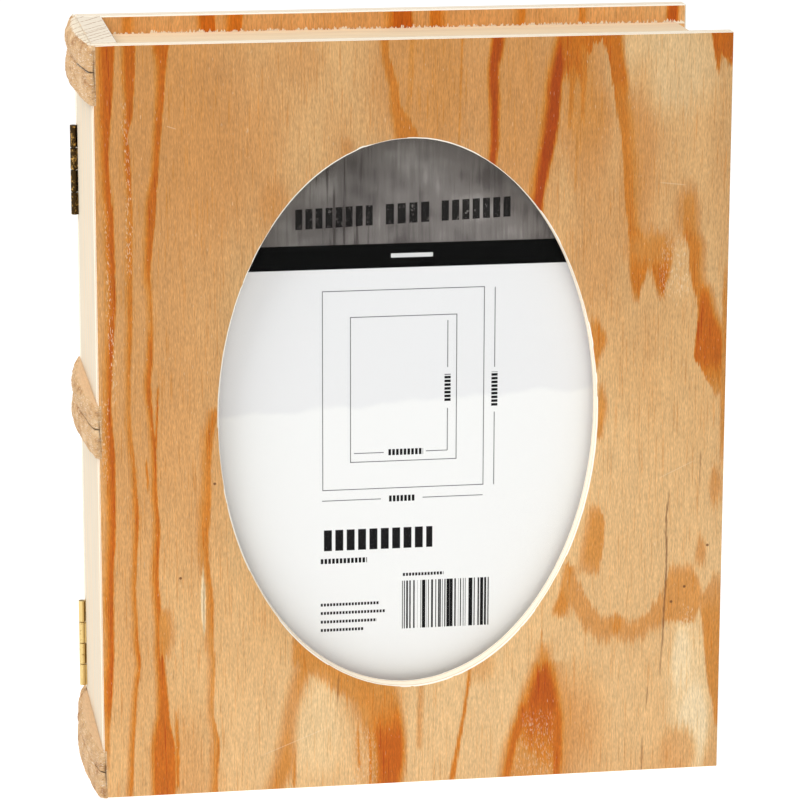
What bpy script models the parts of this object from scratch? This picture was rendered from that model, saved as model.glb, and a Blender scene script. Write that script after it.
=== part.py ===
"""Book-shaped wooden picture frame with an oval window and a hinged back cover.

The front cover carries the glass, and three rails and a spine board join it into a
shallow case. The back cover swings on two brass butt hinges at the spine.
Dimensions are millimetres in book coordinates: x from the spine's face towards the
fore-edge, y from the front cover's face to the back, z up from the foot of the covers.
"""

import math

import bmesh
import bpy
from mathutils import Vector

MM = 0.001
GAP = 0.3                       # air left between pieces that touch
RUNNING = 0.1                   # radial clearance of a turning fit
THROUGH = 4.0                   # how far a cutter runs past the faces it opens

# Book
BOOK_W = 180.0
BOOK_H = 217.0
COVER_T = 5.0                   # plywood of both covers
BOARD_T = 7.5                   # solid strips of the spine and the page block
SEAM_Y = 57.0                   # plane in which the back cover parts from the case
HEAD_INSET = 5.3                # page block set back from the covers' edges
TAIL_INSET = 5.0
FORE_INSET = 3.0
COVER_EASE = 0.45               # sanded edges of the covers
BOARD_EASE = 0.3

# Oval window
OVAL_X = 88.1
OVAL_Z = 109.3
OVAL_W = 108.4
OVAL_H = 159.6
OVAL_EASE = 0.5
OVAL_SEGMENTS = 72

# Picture pack behind the window
GLASS_W = 130.0
GLASS_H = 180.0
GLASS_T = 2.0
CARD_T = 0.4
BACKING_T = 2.5
FILLET_SIDE_W = 10.0
FILLET_END_W = 4.0

# Turn buttons that hold the picture pack
BUTTON_L = 20.0
BUTTON_W = 8.0
BUTTON_T = 1.2
BUTTON_HOLE_R = 1.4
BUTTON_SPACING_Z = 98.0
BUTTON_HEAD_R = 2.3
BUTTON_HEAD_H = 1.4
BUTTON_CROWN_R = 1.6             # flat top of a screw head
BUTTON_SHANK_R = 1.3
BUTTON_SHANK_L = 6.0
BUTTON_POINT_H = 1.0
BUTTON_SLOT_W = 0.6
BUTTON_SLOT_DEPTH = 0.6

# Butt hinges
PIN_X = -1.1                    # hinge axis, proud of the spine's face
KNUCKLE_R = 1.0
PIN_R = 0.4
HINGE_L = 26.2
HINGE_Z = {"lower": 29.1, "upper": 172.4}
KNUCKLES = 4
KNUCKLE_CLEARANCE = 0.3
LEAF_T = 0.6
LEAF_REACH_X = 6.4              # inner edge of a leaf
LEAF_ROOT_X = 0.06              # where a leaf stops short of the other leaf's knuckles
TONGUE_TRIM = 0.05              # a tongue is this much shorter than its knuckle at each end
TONGUE_TIP_X = 0.25             # end of a tongue inside its knuckle, from the pin's axis
LEAF_SCREW_X = 3.8
LEAF_SCREW_DZ = 7.5
LEAF_SCREW_R = 0.7
LEAF_HEAD_R = 1.3
LEAF_HEAD_DEPTH = 0.5
LEAF_SCREW_POINT_H = 1.2
CASE_SCREW_L = 8.0
COVER_SCREW_L = 4.2
SLOT_W = 0.35
SLOT_DEPTH = 0.3

# Raised bands across the spine: foot z, height, thickness of the lower and upper lips
BANDS = {
    "top": (200.4, 16.6, 0.52, 0.85),
    "middle": (100.5, 15.2, 0.55, 0.6),
    "bottom": (0.0, 14.2, 0.85, 0.6),
}
BAND_BULGE = 4.4                # highest crest above the spine's face
BAND_GROOVE = 0.72              # thickness between the two beads, as a share of the crest
# Crest height along the book's depth; both ends at the seam slope to clear the hinge axis
BAND_CREST = [(0.0, 1.3), (4.0, 2.1), (9.0, 2.8), (16.0, 3.5), (24.0, 4.15), (33.0, BAND_BULGE),
              (42.0, 4.25), (49.0, 3.7), (53.0, 3.15), (55.0, 2.75), (SEAM_Y - GAP / 2, 1.0)]
TAIL_CREST = [(SEAM_Y + GAP / 2, 1.0), (58.6, 2.3), (60.6, 1.9), (SEAM_Y + GAP / 2 + COVER_T, 0.9)]

# Panel pins driven through the front cover into the strips behind it: x, z
BRADS = {"spine": (1.9, 181.0), "head": (169.1, 206.4), "fore_edge": (175.5, 67.6)}
BRAD_R = 0.35
BRAD_HEAD_R = 0.5
BRAD_HEAD_H = 0.5
BRAD_NECK_H = 0.4               # taper from the head to the shank
BRAD_POINT_H = 1.5
BRAD_L = 15.0
BRAD_SUNK = 0.15

# Faces that follow from the dimensions above
CASE_FRONT_Y = COVER_T + GAP
CASE_BACK_Y = SEAM_Y - GAP / 2
BACK_FRONT_Y = SEAM_Y + GAP / 2
BOOK_D = BACK_FRONT_Y + COVER_T
PACK_BACK_Y = CASE_FRONT_Y + GLASS_T + GAP + CARD_T + GAP + BACKING_T
BUTTON_FRONT_Y = PACK_BACK_Y + GAP
GLASS_LO = (OVAL_X - GLASS_W / 2, OVAL_Z - GLASS_H / 2)
GLASS_HI = (OVAL_X + GLASS_W / 2, OVAL_Z + GLASS_H / 2)
BUTTON_PIVOT_X = {"left": GLASS_LO[0] - GAP - FILLET_SIDE_W / 2,
                  "right": GLASS_HI[0] + GAP + FILLET_SIDE_W / 2}
X_MID = (BOOK_W - BAND_BULGE) / 2
Y_MID = BOOK_D / 2

COLOURS = {
    # name: (red, green, blue), roughness, metallic
    "veneer": ((0.62, 0.36, 0.15), 0.55, 0.0),
    "pale_wood": ((0.78, 0.66, 0.47), 0.6, 0.0),
    "band_wood": ((0.55, 0.38, 0.25), 0.7, 0.0),
    "fillet_wood": ((0.74, 0.58, 0.36), 0.6, 0.0),
    "hardboard": ((0.30, 0.19, 0.11), 0.7, 0.0),
    "glass": ((0.9, 0.95, 0.94), 0.05, 0.0),
    "card": ((0.72, 0.72, 0.72), 0.6, 0.0),
    "brass": ((0.70, 0.50, 0.18), 0.3, 1.0),
    "steel": ((0.45, 0.43, 0.40), 0.35, 1.0),
}


def world(x, y, z):
    """Book coordinates in millimetres to scene coordinates in metres."""
    return Vector(((x - X_MID) * MM, (y - Y_MID) * MM, z * MM))


def clear_scene():
    for obj in list(bpy.data.objects):
        bpy.data.objects.remove(obj, do_unlink=True)


def new_collection(name):
    collection = bpy.data.collections.new(name)
    bpy.context.scene.collection.children.link(collection)
    return collection


def make_materials():
    materials = {}
    for name, (rgb, roughness, metallic) in COLOURS.items():
        material = bpy.data.materials.new(name)
        material.use_nodes = True
        shader = material.node_tree.nodes["Principled BSDF"]
        shader.inputs["Base Color"].default_value = (*rgb, 1.0)
        shader.inputs["Roughness"].default_value = roughness
        shader.inputs["Metallic"].default_value = metallic
        materials[name] = material
    return materials


clear_scene()
PARTS = new_collection("photo_album_stand")
CUTTERS = new_collection("cutters")
MATERIALS = make_materials()


def link_part(obj, material, parent=None):
    """Put a finished object in the parts collection, on its parent empty if it has one."""
    PARTS.objects.link(obj)
    obj.data.materials.append(MATERIALS[material])
    if parent is not None:
        obj.location = obj.location - parent.location
        obj.parent = parent


def link_cutter(obj):
    CUTTERS.objects.link(obj)
    obj.hide_render = True
    obj.display_type = "WIRE"


def object_from_bmesh(name, bm, location):
    mesh = bpy.data.meshes.new(name)
    bm.to_mesh(mesh)
    bm.free()
    obj = bpy.data.objects.new(name, mesh)
    obj.location = location
    return obj


def box_object(name, lo, hi):
    """Box between two corners in book coordinates, its origin at its middle."""
    bm = bmesh.new()
    bmesh.ops.create_cube(bm, size=1.0)
    bmesh.ops.scale(bm, vec=(Vector(hi) - Vector(lo)) * MM, verts=bm.verts)
    return object_from_bmesh(name, bm, world(*((Vector(lo) + Vector(hi)) / 2)))


def board(name, lo, hi, material, ease=BOARD_EASE, parent=None):
    """Straight strip or panel with eased edges."""
    obj = box_object(name, lo, hi)
    link_part(obj, material, parent)
    if ease:
        bevel = obj.modifiers.new("eased edges", "BEVEL")
        bevel.width = ease * MM
        bevel.segments = 1
        bevel.limit_method = "NONE"
    return obj


def cylinder_object(name, start, length, radius, segments, axis):
    """Cylinder from a start point along +Y or +Z."""
    bm = bmesh.new()
    bmesh.ops.create_cone(bm, cap_ends=True, segments=segments, radius1=radius * MM,
                          radius2=radius * MM, depth=length * MM)
    bmesh.ops.translate(bm, vec=(0, 0, length * MM / 2), verts=bm.verts)
    obj = object_from_bmesh(name, bm, world(*start))
    if axis == "Y":
        obj.rotation_euler = (-math.pi / 2, 0, 0)
    return obj


def combine(obj, tool, operation="DIFFERENCE"):
    """Cut the tool out of an object, or join it on."""
    link_cutter(tool)
    boolean = obj.modifiers.new(tool.name, "BOOLEAN")
    boolean.operation = operation
    boolean.solver = "EXACT"
    boolean.object = tool


def turned_object(name, profile, location, steps=20):
    """Solid turned about its own Z from (radius, height) points, top to bottom."""
    mesh = bpy.data.meshes.new(name)
    points = [(r * MM, 0.0, h * MM) for r, h in profile]
    mesh.from_pydata(points, [(i, i + 1) for i in range(len(points) - 1)], [])
    obj = bpy.data.objects.new(name, mesh)
    obj.location = location
    screw = obj.modifiers.new("turned", "SCREW")
    screw.axis = "Z"
    screw.steps = steps
    screw.render_steps = steps
    screw.use_merge_vertices = True
    screw.merge_threshold = 0.00001
    screw.use_smooth_shade = True
    return obj


def flat_object(name, outlines, thickness, location):
    """Plate with the given closed outlines in the XZ plane, centred on its thickness."""
    curve = bpy.data.curves.new(name, "CURVE")
    curve.dimensions = "2D"
    curve.fill_mode = "BOTH"
    curve.extrude = thickness * MM / 2
    for outline in outlines:
        spline = curve.splines.new("POLY")
        spline.points.add(len(outline) - 1)
        for point, (x, z) in zip(spline.points, outline):
            point.co = (x * MM, z * MM, 0.0, 1.0)
        spline.use_cyclic_u = True
    source = bpy.data.objects.new(name + "_outline", curve)
    source.location = location
    source.rotation_euler = (math.pi / 2, 0, 0)
    bpy.context.scene.collection.objects.link(source)
    return mesh_from_curve(name, source)


def mesh_from_curve(name, source):
    """Turn a curve object into a welded mesh object in the same place."""
    bpy.context.view_layer.update()
    evaluated = source.evaluated_get(bpy.context.evaluated_depsgraph_get())
    mesh = bpy.data.meshes.new_from_object(evaluated)
    bm = bmesh.new()
    bm.from_mesh(mesh)
    bmesh.ops.remove_doubles(bm, verts=bm.verts, dist=0.00001)
    bmesh.ops.recalc_face_normals(bm, faces=bm.faces)
    bm.to_mesh(mesh)
    bm.free()
    mesh.materials.clear()
    obj = bpy.data.objects.new(name, mesh)
    obj.matrix_world = source.matrix_world
    bpy.data.objects.remove(source, do_unlink=True)
    return obj


def arc(cx, cz, radius, start, end, steps):
    """Points on an arc in degrees, both ends included."""
    angles = [math.radians(start + (end - start) * i / steps) for i in range(steps + 1)]
    return [(cx + radius * math.cos(a), cz + radius * math.sin(a)) for a in angles]


# Covers and case -------------------------------------------------------------------

def oval_cutter(name, y_start, y_end, grow_start, grow_end):
    """Elliptical cutter along +Y whose ends may differ in size."""
    bm = bmesh.new()
    bmesh.ops.create_cone(bm, cap_ends=True, segments=OVAL_SEGMENTS, radius1=1.0, radius2=1.0,
                          depth=1.0)
    for vert in bm.verts:
        at_end = vert.co.z > 0
        grow = grow_end if at_end else grow_start
        y = y_end if at_end else y_start
        vert.co = Vector((vert.co.x * (OVAL_W / 2 + grow), y,
                          -vert.co.y * (OVAL_H / 2 + grow))) * MM
    return object_from_bmesh(name, bm, world(OVAL_X, 0, OVAL_Z))


def front_cover():
    obj = board("front_cover", (0, 0, 0), (BOOK_W, COVER_T, BOOK_H), "veneer", COVER_EASE)
    combine(obj, oval_cutter("oval_hole", -THROUGH, COVER_T + THROUGH, 0, 0))
    # The eased rim widens the hole by as much at the face as it is deep.
    combine(obj, oval_cutter("oval_rim", -THROUGH, OVAL_EASE, OVAL_EASE + THROUGH, 0))
    return obj


def case_strips():
    """Spine board and the three rails that look like the page block."""
    y0, y1 = CASE_FRONT_Y, CASE_BACK_Y
    inner_x = BOARD_T + GAP
    fore_x = BOOK_W - FORE_INSET
    head_z = BOOK_H - HEAD_INSET
    tail_top = TAIL_INSET + BOARD_T
    return {
        "spine": board("spine_board", (0, y0, 0), (BOARD_T, y1, BOOK_H), "pale_wood"),
        "head": board("head_rail", (inner_x, y0, head_z - BOARD_T), (fore_x, y1, head_z),
                      "pale_wood"),
        "tail": board("tail_rail", (inner_x, y0, TAIL_INSET), (fore_x, y1, tail_top),
                      "pale_wood"),
        "fore_edge": board("fore_edge_rail", (fore_x - BOARD_T, y0, tail_top + GAP),
                           (fore_x, y1, head_z - BOARD_T - GAP), "pale_wood"),
    }


def back_cover(swing):
    return board("back_cover", (0, BACK_FRONT_Y, 0), (BOOK_W, BOOK_D, BOOK_H), "veneer",
                 COVER_EASE, swing)


def add_brads(cover, strips):
    """Panel pins, each in a hole through the cover and into its strip."""
    profile = [(0, 0), (BRAD_HEAD_R, 0), (BRAD_HEAD_R, -BRAD_HEAD_H),
               (BRAD_R, -BRAD_HEAD_H - BRAD_NECK_H), (BRAD_R, BRAD_POINT_H - BRAD_L),
               (0, -BRAD_L)]
    for where, (x, z) in BRADS.items():
        brad = turned_object("brad_" + where, profile, world(x, BRAD_SUNK, z), steps=12)
        brad.rotation_euler = (math.pi / 2, 0, 0)
        link_part(brad, "steel")
        hole_r = BRAD_HEAD_R + RUNNING
        combine(cover, cylinder_object("brad_mouth_" + where, (x, -THROUGH, z),
                                       THROUGH + COVER_T + THROUGH, hole_r, 16, "Y"))
        combine(strips[where], cylinder_object("brad_hole_" + where, (x, 0, z),
                                               BRAD_SUNK + BRAD_L + GAP, BRAD_R + RUNNING, 16,
                                               "Y"))


# Picture pack ----------------------------------------------------------------------

def picture_pack():
    """Glass, printed card and backing board, one behind the other."""
    y = CASE_FRONT_Y
    for name, thickness, material, ease in (("glass_pane", GLASS_T, "glass", 0.15),
                                            ("insert_card", CARD_T, "card", 0),
                                            ("backing_board", BACKING_T, "hardboard", 0.2)):
        board(name, (GLASS_LO[0], y, GLASS_LO[1]), (GLASS_HI[0], y + thickness, GLASS_HI[1]),
              material, ease)
        y += thickness + GAP


def glazing_fillets():
    """Strips glued behind the cover that keep the glass in place."""
    y0, y1 = CASE_FRONT_Y, PACK_BACK_Y
    z0 = GLASS_LO[1] - GAP - FILLET_END_W
    z1 = GLASS_HI[1] + GAP + FILLET_END_W
    left = GLASS_LO[0] - GAP
    right = GLASS_HI[0] + GAP
    board("glazing_fillet_head", (GLASS_LO[0], y0, z1 - FILLET_END_W), (GLASS_HI[0], y1, z1),
          "fillet_wood")
    board("glazing_fillet_tail", (GLASS_LO[0], y0, z0), (GLASS_HI[0], y1, z0 + FILLET_END_W),
          "fillet_wood")
    return {
        "left": board("glazing_fillet_left", (left - FILLET_SIDE_W, y0, z0), (left, y1, z1),
                      "fillet_wood"),
        "right": board("glazing_fillet_right", (right, y0, z0), (right + FILLET_SIDE_W, y1, z1),
                       "fillet_wood"),
    }


def button_outline(side):
    """Round-ended strip that points from its pivot over the picture pack."""
    reach = BUTTON_L - BUTTON_W
    radius = BUTTON_W / 2
    outline = arc(0, 0, radius, 90, 270, 12) + arc(reach, 0, radius, -90, 90, 12)
    if side == "right":
        outline = [(-x, -z) for x, z in outline]
    return outline


def turn_buttons(fillets):
    for side, fillet in fillets.items():
        for level, sign in (("lower", -1), ("upper", 1)):
            tag = side + "_" + level
            x = BUTTON_PIVOT_X[side]
            z = OVAL_Z + sign * BUTTON_SPACING_Z / 2
            hole = arc(0, 0, BUTTON_HOLE_R, 0, 345, 23)
            middle_y = BUTTON_FRONT_Y + BUTTON_T / 2
            button = flat_object("turn_button_" + tag, [button_outline(side), hole], BUTTON_T,
                                 world(x, middle_y, z))
            link_part(button, "brass")
            add_button_screw(tag, fillet, x, z)


def add_button_screw(tag, fillet, x, z):
    """Pan-head screw on the button's pivot, its shank in a hole in the fillet."""
    head_y = BUTTON_FRONT_Y + BUTTON_T + GAP
    profile = [(0, BUTTON_HEAD_H), (BUTTON_CROWN_R, BUTTON_HEAD_H),
               (BUTTON_HEAD_R, BUTTON_HEAD_H / 2), (BUTTON_HEAD_R, 0), (BUTTON_SHANK_R, 0),
               (BUTTON_SHANK_R, BUTTON_POINT_H - BUTTON_SHANK_L), (0, -BUTTON_SHANK_L)]
    screw = turned_object("button_screw_" + tag, profile, world(x, head_y, z))
    screw.rotation_euler = (-math.pi / 2, 0, 0)
    link_part(screw, "steel")
    head_top = head_y + BUTTON_HEAD_H
    combine(screw, box_object("button_slot_" + tag,
                              (x - BUTTON_W, head_top - BUTTON_SLOT_DEPTH,
                               z - BUTTON_SLOT_W / 2),
                              (x + BUTTON_W, head_top + THROUGH, z + BUTTON_SLOT_W / 2)))
    bottom_y = head_y - BUTTON_SHANK_L - GAP
    combine(fillet, cylinder_object("button_hole_" + tag, (x, bottom_y, z),
                                    PACK_BACK_Y + THROUGH - bottom_y,
                                    BUTTON_SHANK_R + RUNNING, 20, "Y"))


# Hinges ----------------------------------------------------------------------------

def knuckle_spans(first):
    """Heights of every second knuckle of a leaf, measured from the hinge's middle."""
    pitch = HINGE_L / KNUCKLES
    trim = KNUCKLE_CLEARANCE / 2
    spans = []
    for i in range(first, KNUCKLES, 2):
        low = -HINGE_L / 2 + i * pitch
        spans.append((low + (trim if i else 0), low + pitch - (trim if i < KNUCKLES - 1 else 0)))
    return spans


def leaf_outline(spans):
    """Leaf seen square on, with a tongue to each of its knuckles; x from the pin."""
    half = HINGE_L / 2
    root = LEAF_ROOT_X - PIN_X
    reach = LEAF_REACH_X - PIN_X
    points = [(root, -half), (reach, -half), (reach, half), (root, half)]
    for low, high in reversed(spans):
        low += TONGUE_TRIM
        high -= TONGUE_TRIM
        points += [(root, high), (TONGUE_TIP_X, high), (TONGUE_TIP_X, low), (root, low)]
    return points


def knuckle_tool(name, spans, z_mid):
    """The barrels of one leaf, as one tool."""
    bm = bmesh.new()
    for low, high in spans:
        ring = bmesh.ops.create_cone(bm, cap_ends=True, segments=24, radius1=KNUCKLE_R * MM,
                                     radius2=KNUCKLE_R * MM, depth=(high - low) * MM)
        bmesh.ops.translate(bm, vec=(0, 0, (low + high) / 2 * MM), verts=ring["verts"])
    return object_from_bmesh(name, bm, world(PIN_X, SEAM_Y, z_mid))


def hinge_leaf(name, first, side, z_mid, parent=None):
    """One leaf: side is -1 on the case and +1 on the back cover."""
    spans = knuckle_spans(first)
    middle_y = SEAM_Y + side * (GAP + LEAF_T) / 2
    leaf = flat_object(name, [leaf_outline(spans)], LEAF_T, world(PIN_X, middle_y, z_mid))
    link_part(leaf, "brass", parent)
    combine(leaf, knuckle_tool(name + "_barrels", spans, z_mid), "UNION")
    combine(leaf, cylinder_object(name + "_bore", (PIN_X, SEAM_Y, z_mid - HINGE_L),
                                  2 * HINGE_L, PIN_R + RUNNING, 16, "Z"))
    return leaf


def leaf_screw(tag, leaf, board_obj, side, z, length, parent=None):
    """Countersunk screw through a leaf, with its holes in the leaf and the wood."""
    face_y = SEAM_Y + side * GAP / 2
    profile = [(0, 0), (LEAF_HEAD_R, 0), (LEAF_SCREW_R, -LEAF_HEAD_DEPTH),
               (LEAF_SCREW_R, LEAF_SCREW_POINT_H - length), (0, -length)]
    screw = turned_object("leaf_screw_" + tag, profile, world(LEAF_SCREW_X, face_y, z), steps=16)
    turn = math.pi / 2 * side
    screw.rotation_euler = (turn, 0, 0)
    link_part(screw, "brass", parent)
    slot_y = sorted((face_y - side * THROUGH, face_y + side * SLOT_DEPTH))
    combine(screw, box_object("leaf_slot_" + tag,
                              (LEAF_SCREW_X - SLOT_W / 2, slot_y[0], z - LEAF_HEAD_R * 2),
                              (LEAF_SCREW_X + SLOT_W / 2, slot_y[1], z + LEAF_HEAD_R * 2)))
    sink = turned_object("leaf_sink_" + tag,
                         [(0, RUNNING), (LEAF_HEAD_R + 2 * RUNNING, RUNNING),
                          (LEAF_SCREW_R + RUNNING, -LEAF_HEAD_DEPTH),
                          (LEAF_SCREW_R + RUNNING, -length - GAP), (0, -length - GAP)],
                         world(LEAF_SCREW_X, face_y, z), steps=16)
    sink.rotation_euler = (turn, 0, 0)
    combine(leaf, sink)
    start = face_y if side > 0 else face_y - length - GAP
    combine(board_obj, cylinder_object("pilot_" + tag, (LEAF_SCREW_X, start, z), length + GAP,
                                       LEAF_SCREW_R + RUNNING, 16, "Y"))


def leaf_mortise(tag, board_obj, side, z_mid):
    """Pocket in the wood that lets a leaf in flush."""
    face_y = SEAM_Y + side * GAP / 2
    floor_y = face_y + side * (LEAF_T + GAP)
    y0, y1 = sorted((floor_y, face_y - side * THROUGH))
    half = HINGE_L / 2 + GAP
    combine(board_obj, box_object("mortise_" + tag, (-THROUGH, y0, z_mid - half),
                                  (LEAF_REACH_X + GAP, y1, z_mid + half)))


def hinges(spine, cover, swing):
    """Two butt hinges with their pins, screws and mortises."""
    for level, z_mid in HINGE_Z.items():
        leaf_mortise("case_" + level, spine, -1, z_mid)
        leaf_mortise("cover_" + level, cover, 1, z_mid)
        case_leaf = hinge_leaf("hinge_case_leaf_" + level, 0, -1, z_mid)
        cover_leaf = hinge_leaf("hinge_cover_leaf_" + level, 1, 1, z_mid, swing)
        pin = cylinder_object("hinge_pin_" + level, (PIN_X, SEAM_Y, z_mid - HINGE_L / 2),
                              HINGE_L, PIN_R, 16, "Z")
        link_part(pin, "brass")
        for end, sign in (("a", -1), ("b", 1)):
            z = z_mid + sign * LEAF_SCREW_DZ
            leaf_screw("case_" + level + "_" + end, case_leaf, spine, -1, z, CASE_SCREW_L)
            leaf_screw("cover_" + level + "_" + end, cover_leaf, cover, 1, z, COVER_SCREW_L,
                       swing)


# Raised bands ----------------------------------------------------------------------

def bead_shares(lip_low, lip_high, steps=6):
    """(height share, thickness share) of two round beads between their lips."""
    shares = []
    for i in range(2 * steps + 1):
        bead = min(i // steps, 1)
        k = i - bead * steps
        along = (1 - math.cos(math.pi * k / steps)) / 2
        base_low, base_high = ((lip_low, BAND_GROOVE), (BAND_GROOVE, lip_high))[bead]
        base = base_low + (base_high - base_low) * along
        round_part = math.sin(math.pi * k / steps)
        shares.append(((bead + along) / 2, base + (1 - base) * round_part))
    return shares


def band_piece(name, z_foot, height, lips, crest, parent=None):
    """Double bead lofted through sections along the book's depth."""
    bm = bmesh.new()
    shares = bead_shares(*lips)
    middle = Vector((-BAND_BULGE / 2, (crest[0][0] + crest[-1][0]) / 2, z_foot + height / 2))
    rings = []
    for y, thickness in crest:
        section = [Vector((-thickness * t, y, z_foot + height * s)) for s, t in shares]
        section += [Vector((-GAP, y, z_foot + height)), Vector((-GAP, y, z_foot))]
        rings.append([bm.verts.new((point - middle) * MM) for point in section])
    count = len(rings[0])
    for ring, following in zip(rings, rings[1:]):
        for i in range(count):
            j = (i + 1) % count
            bm.faces.new((ring[i], ring[j], following[j], following[i]))
    bm.faces.new(rings[0])
    bm.faces.new(list(reversed(rings[-1])))
    bmesh.ops.recalc_face_normals(bm, faces=bm.faces)
    obj = object_from_bmesh(name, bm, world(*middle))
    link_part(obj, "band_wood", parent)
    obj.data.shade_smooth()
    obj.data.set_sharp_from_angle(angle=math.radians(40))


def raised_bands(swing):
    """Each band is sawn through at the seam, so its tail opens with the back cover."""
    for where, (z_foot, height, *lips) in BANDS.items():
        band_piece("band_" + where, z_foot, height, lips, BAND_CREST)
        band_piece("band_tail_" + where, z_foot, height, lips, TAIL_CREST, swing)


def build():
    swing = bpy.data.objects.new("back_cover_axis", None)
    swing.location = world(PIN_X, SEAM_Y, 0)
    PARTS.objects.link(swing)
    cover = front_cover()
    strips = case_strips()
    back = back_cover(swing)
    add_brads(cover, strips)
    picture_pack()
    turn_buttons(glazing_fillets())
    hinges(strips["spine"], back, swing)
    raised_bands(swing)


build()
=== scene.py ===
"""Looks of the book-shaped picture frame: veneer figure, ply edges, carved bands, print and stage.

Lengths are millimetres in book coordinates: x from the spine's face to the fore-edge,
y from the front cover's face to the back, z up from the foot of the covers.
"""
import math

import bmesh
import bpy
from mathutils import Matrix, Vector, noise

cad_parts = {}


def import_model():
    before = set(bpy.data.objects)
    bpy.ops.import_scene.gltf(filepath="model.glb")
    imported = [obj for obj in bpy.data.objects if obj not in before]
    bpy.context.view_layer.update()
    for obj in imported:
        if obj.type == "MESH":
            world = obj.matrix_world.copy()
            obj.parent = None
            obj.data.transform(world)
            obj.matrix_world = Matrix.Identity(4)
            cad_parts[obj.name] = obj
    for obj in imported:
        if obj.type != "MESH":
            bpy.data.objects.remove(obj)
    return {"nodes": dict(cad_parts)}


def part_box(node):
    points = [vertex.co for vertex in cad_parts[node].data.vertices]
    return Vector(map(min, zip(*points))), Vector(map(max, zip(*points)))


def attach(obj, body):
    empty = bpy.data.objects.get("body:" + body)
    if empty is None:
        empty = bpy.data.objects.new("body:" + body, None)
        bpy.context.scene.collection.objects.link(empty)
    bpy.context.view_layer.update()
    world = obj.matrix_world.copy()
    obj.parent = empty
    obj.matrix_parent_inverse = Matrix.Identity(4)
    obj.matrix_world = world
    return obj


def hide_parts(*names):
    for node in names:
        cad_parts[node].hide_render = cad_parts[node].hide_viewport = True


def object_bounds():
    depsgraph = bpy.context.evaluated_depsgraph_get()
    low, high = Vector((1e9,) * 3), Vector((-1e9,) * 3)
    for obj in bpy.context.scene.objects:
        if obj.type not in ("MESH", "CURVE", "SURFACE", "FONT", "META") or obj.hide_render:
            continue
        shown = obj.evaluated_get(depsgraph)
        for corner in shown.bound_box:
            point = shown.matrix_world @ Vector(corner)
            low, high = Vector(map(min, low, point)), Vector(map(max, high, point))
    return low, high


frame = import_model()
CAD_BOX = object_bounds()

MM = 0.001
COVER_LO, COVER_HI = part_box("front_cover")
BOOK_W = (COVER_HI.x - COVER_LO.x) / MM
BOOK_H = (COVER_HI.z - COVER_LO.z) / MM
COVER_T = (COVER_HI.y - COVER_LO.y) / MM


def world(x, y, z):
    """Book coordinates in millimetres to scene coordinates in metres."""
    return COVER_LO + Vector((x, y, z)) * MM


def book_box(node):
    """A CAD node's corners in book coordinates."""
    lo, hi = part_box(node)
    return (lo - COVER_LO) / MM, (hi - COVER_LO) / MM


SEAM_Y = book_box("back_cover")[0].y
GLASS_LO, GLASS_HI = book_box("glass_pane")

# Oval window: the bore through the cover and its eased rim
OVAL_X = (GLASS_LO.x + GLASS_HI.x) / 2
OVAL_Z = (GLASS_LO.z + GLASS_HI.z) / 2
OVAL_RX = 54.2
OVAL_RZ = 79.8
OVAL_EASE = 0.5

# Eased edges of the front cover: the spine side is sanded away most
EASE_SPINE = 1.0
EASE = 0.45
EASE_BACK = 0.35


# Node trees ------------------------------------------------------------------------

def srgb(red, green, blue):
    """Linear colour of an 8-bit sRGB triple."""
    def linear(value):
        share = value / 255
        return share / 12.92 if share <= 0.04045 else ((share + 0.055) / 1.055) ** 2.4
    return (linear(red), linear(green), linear(blue), 1.0)


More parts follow.
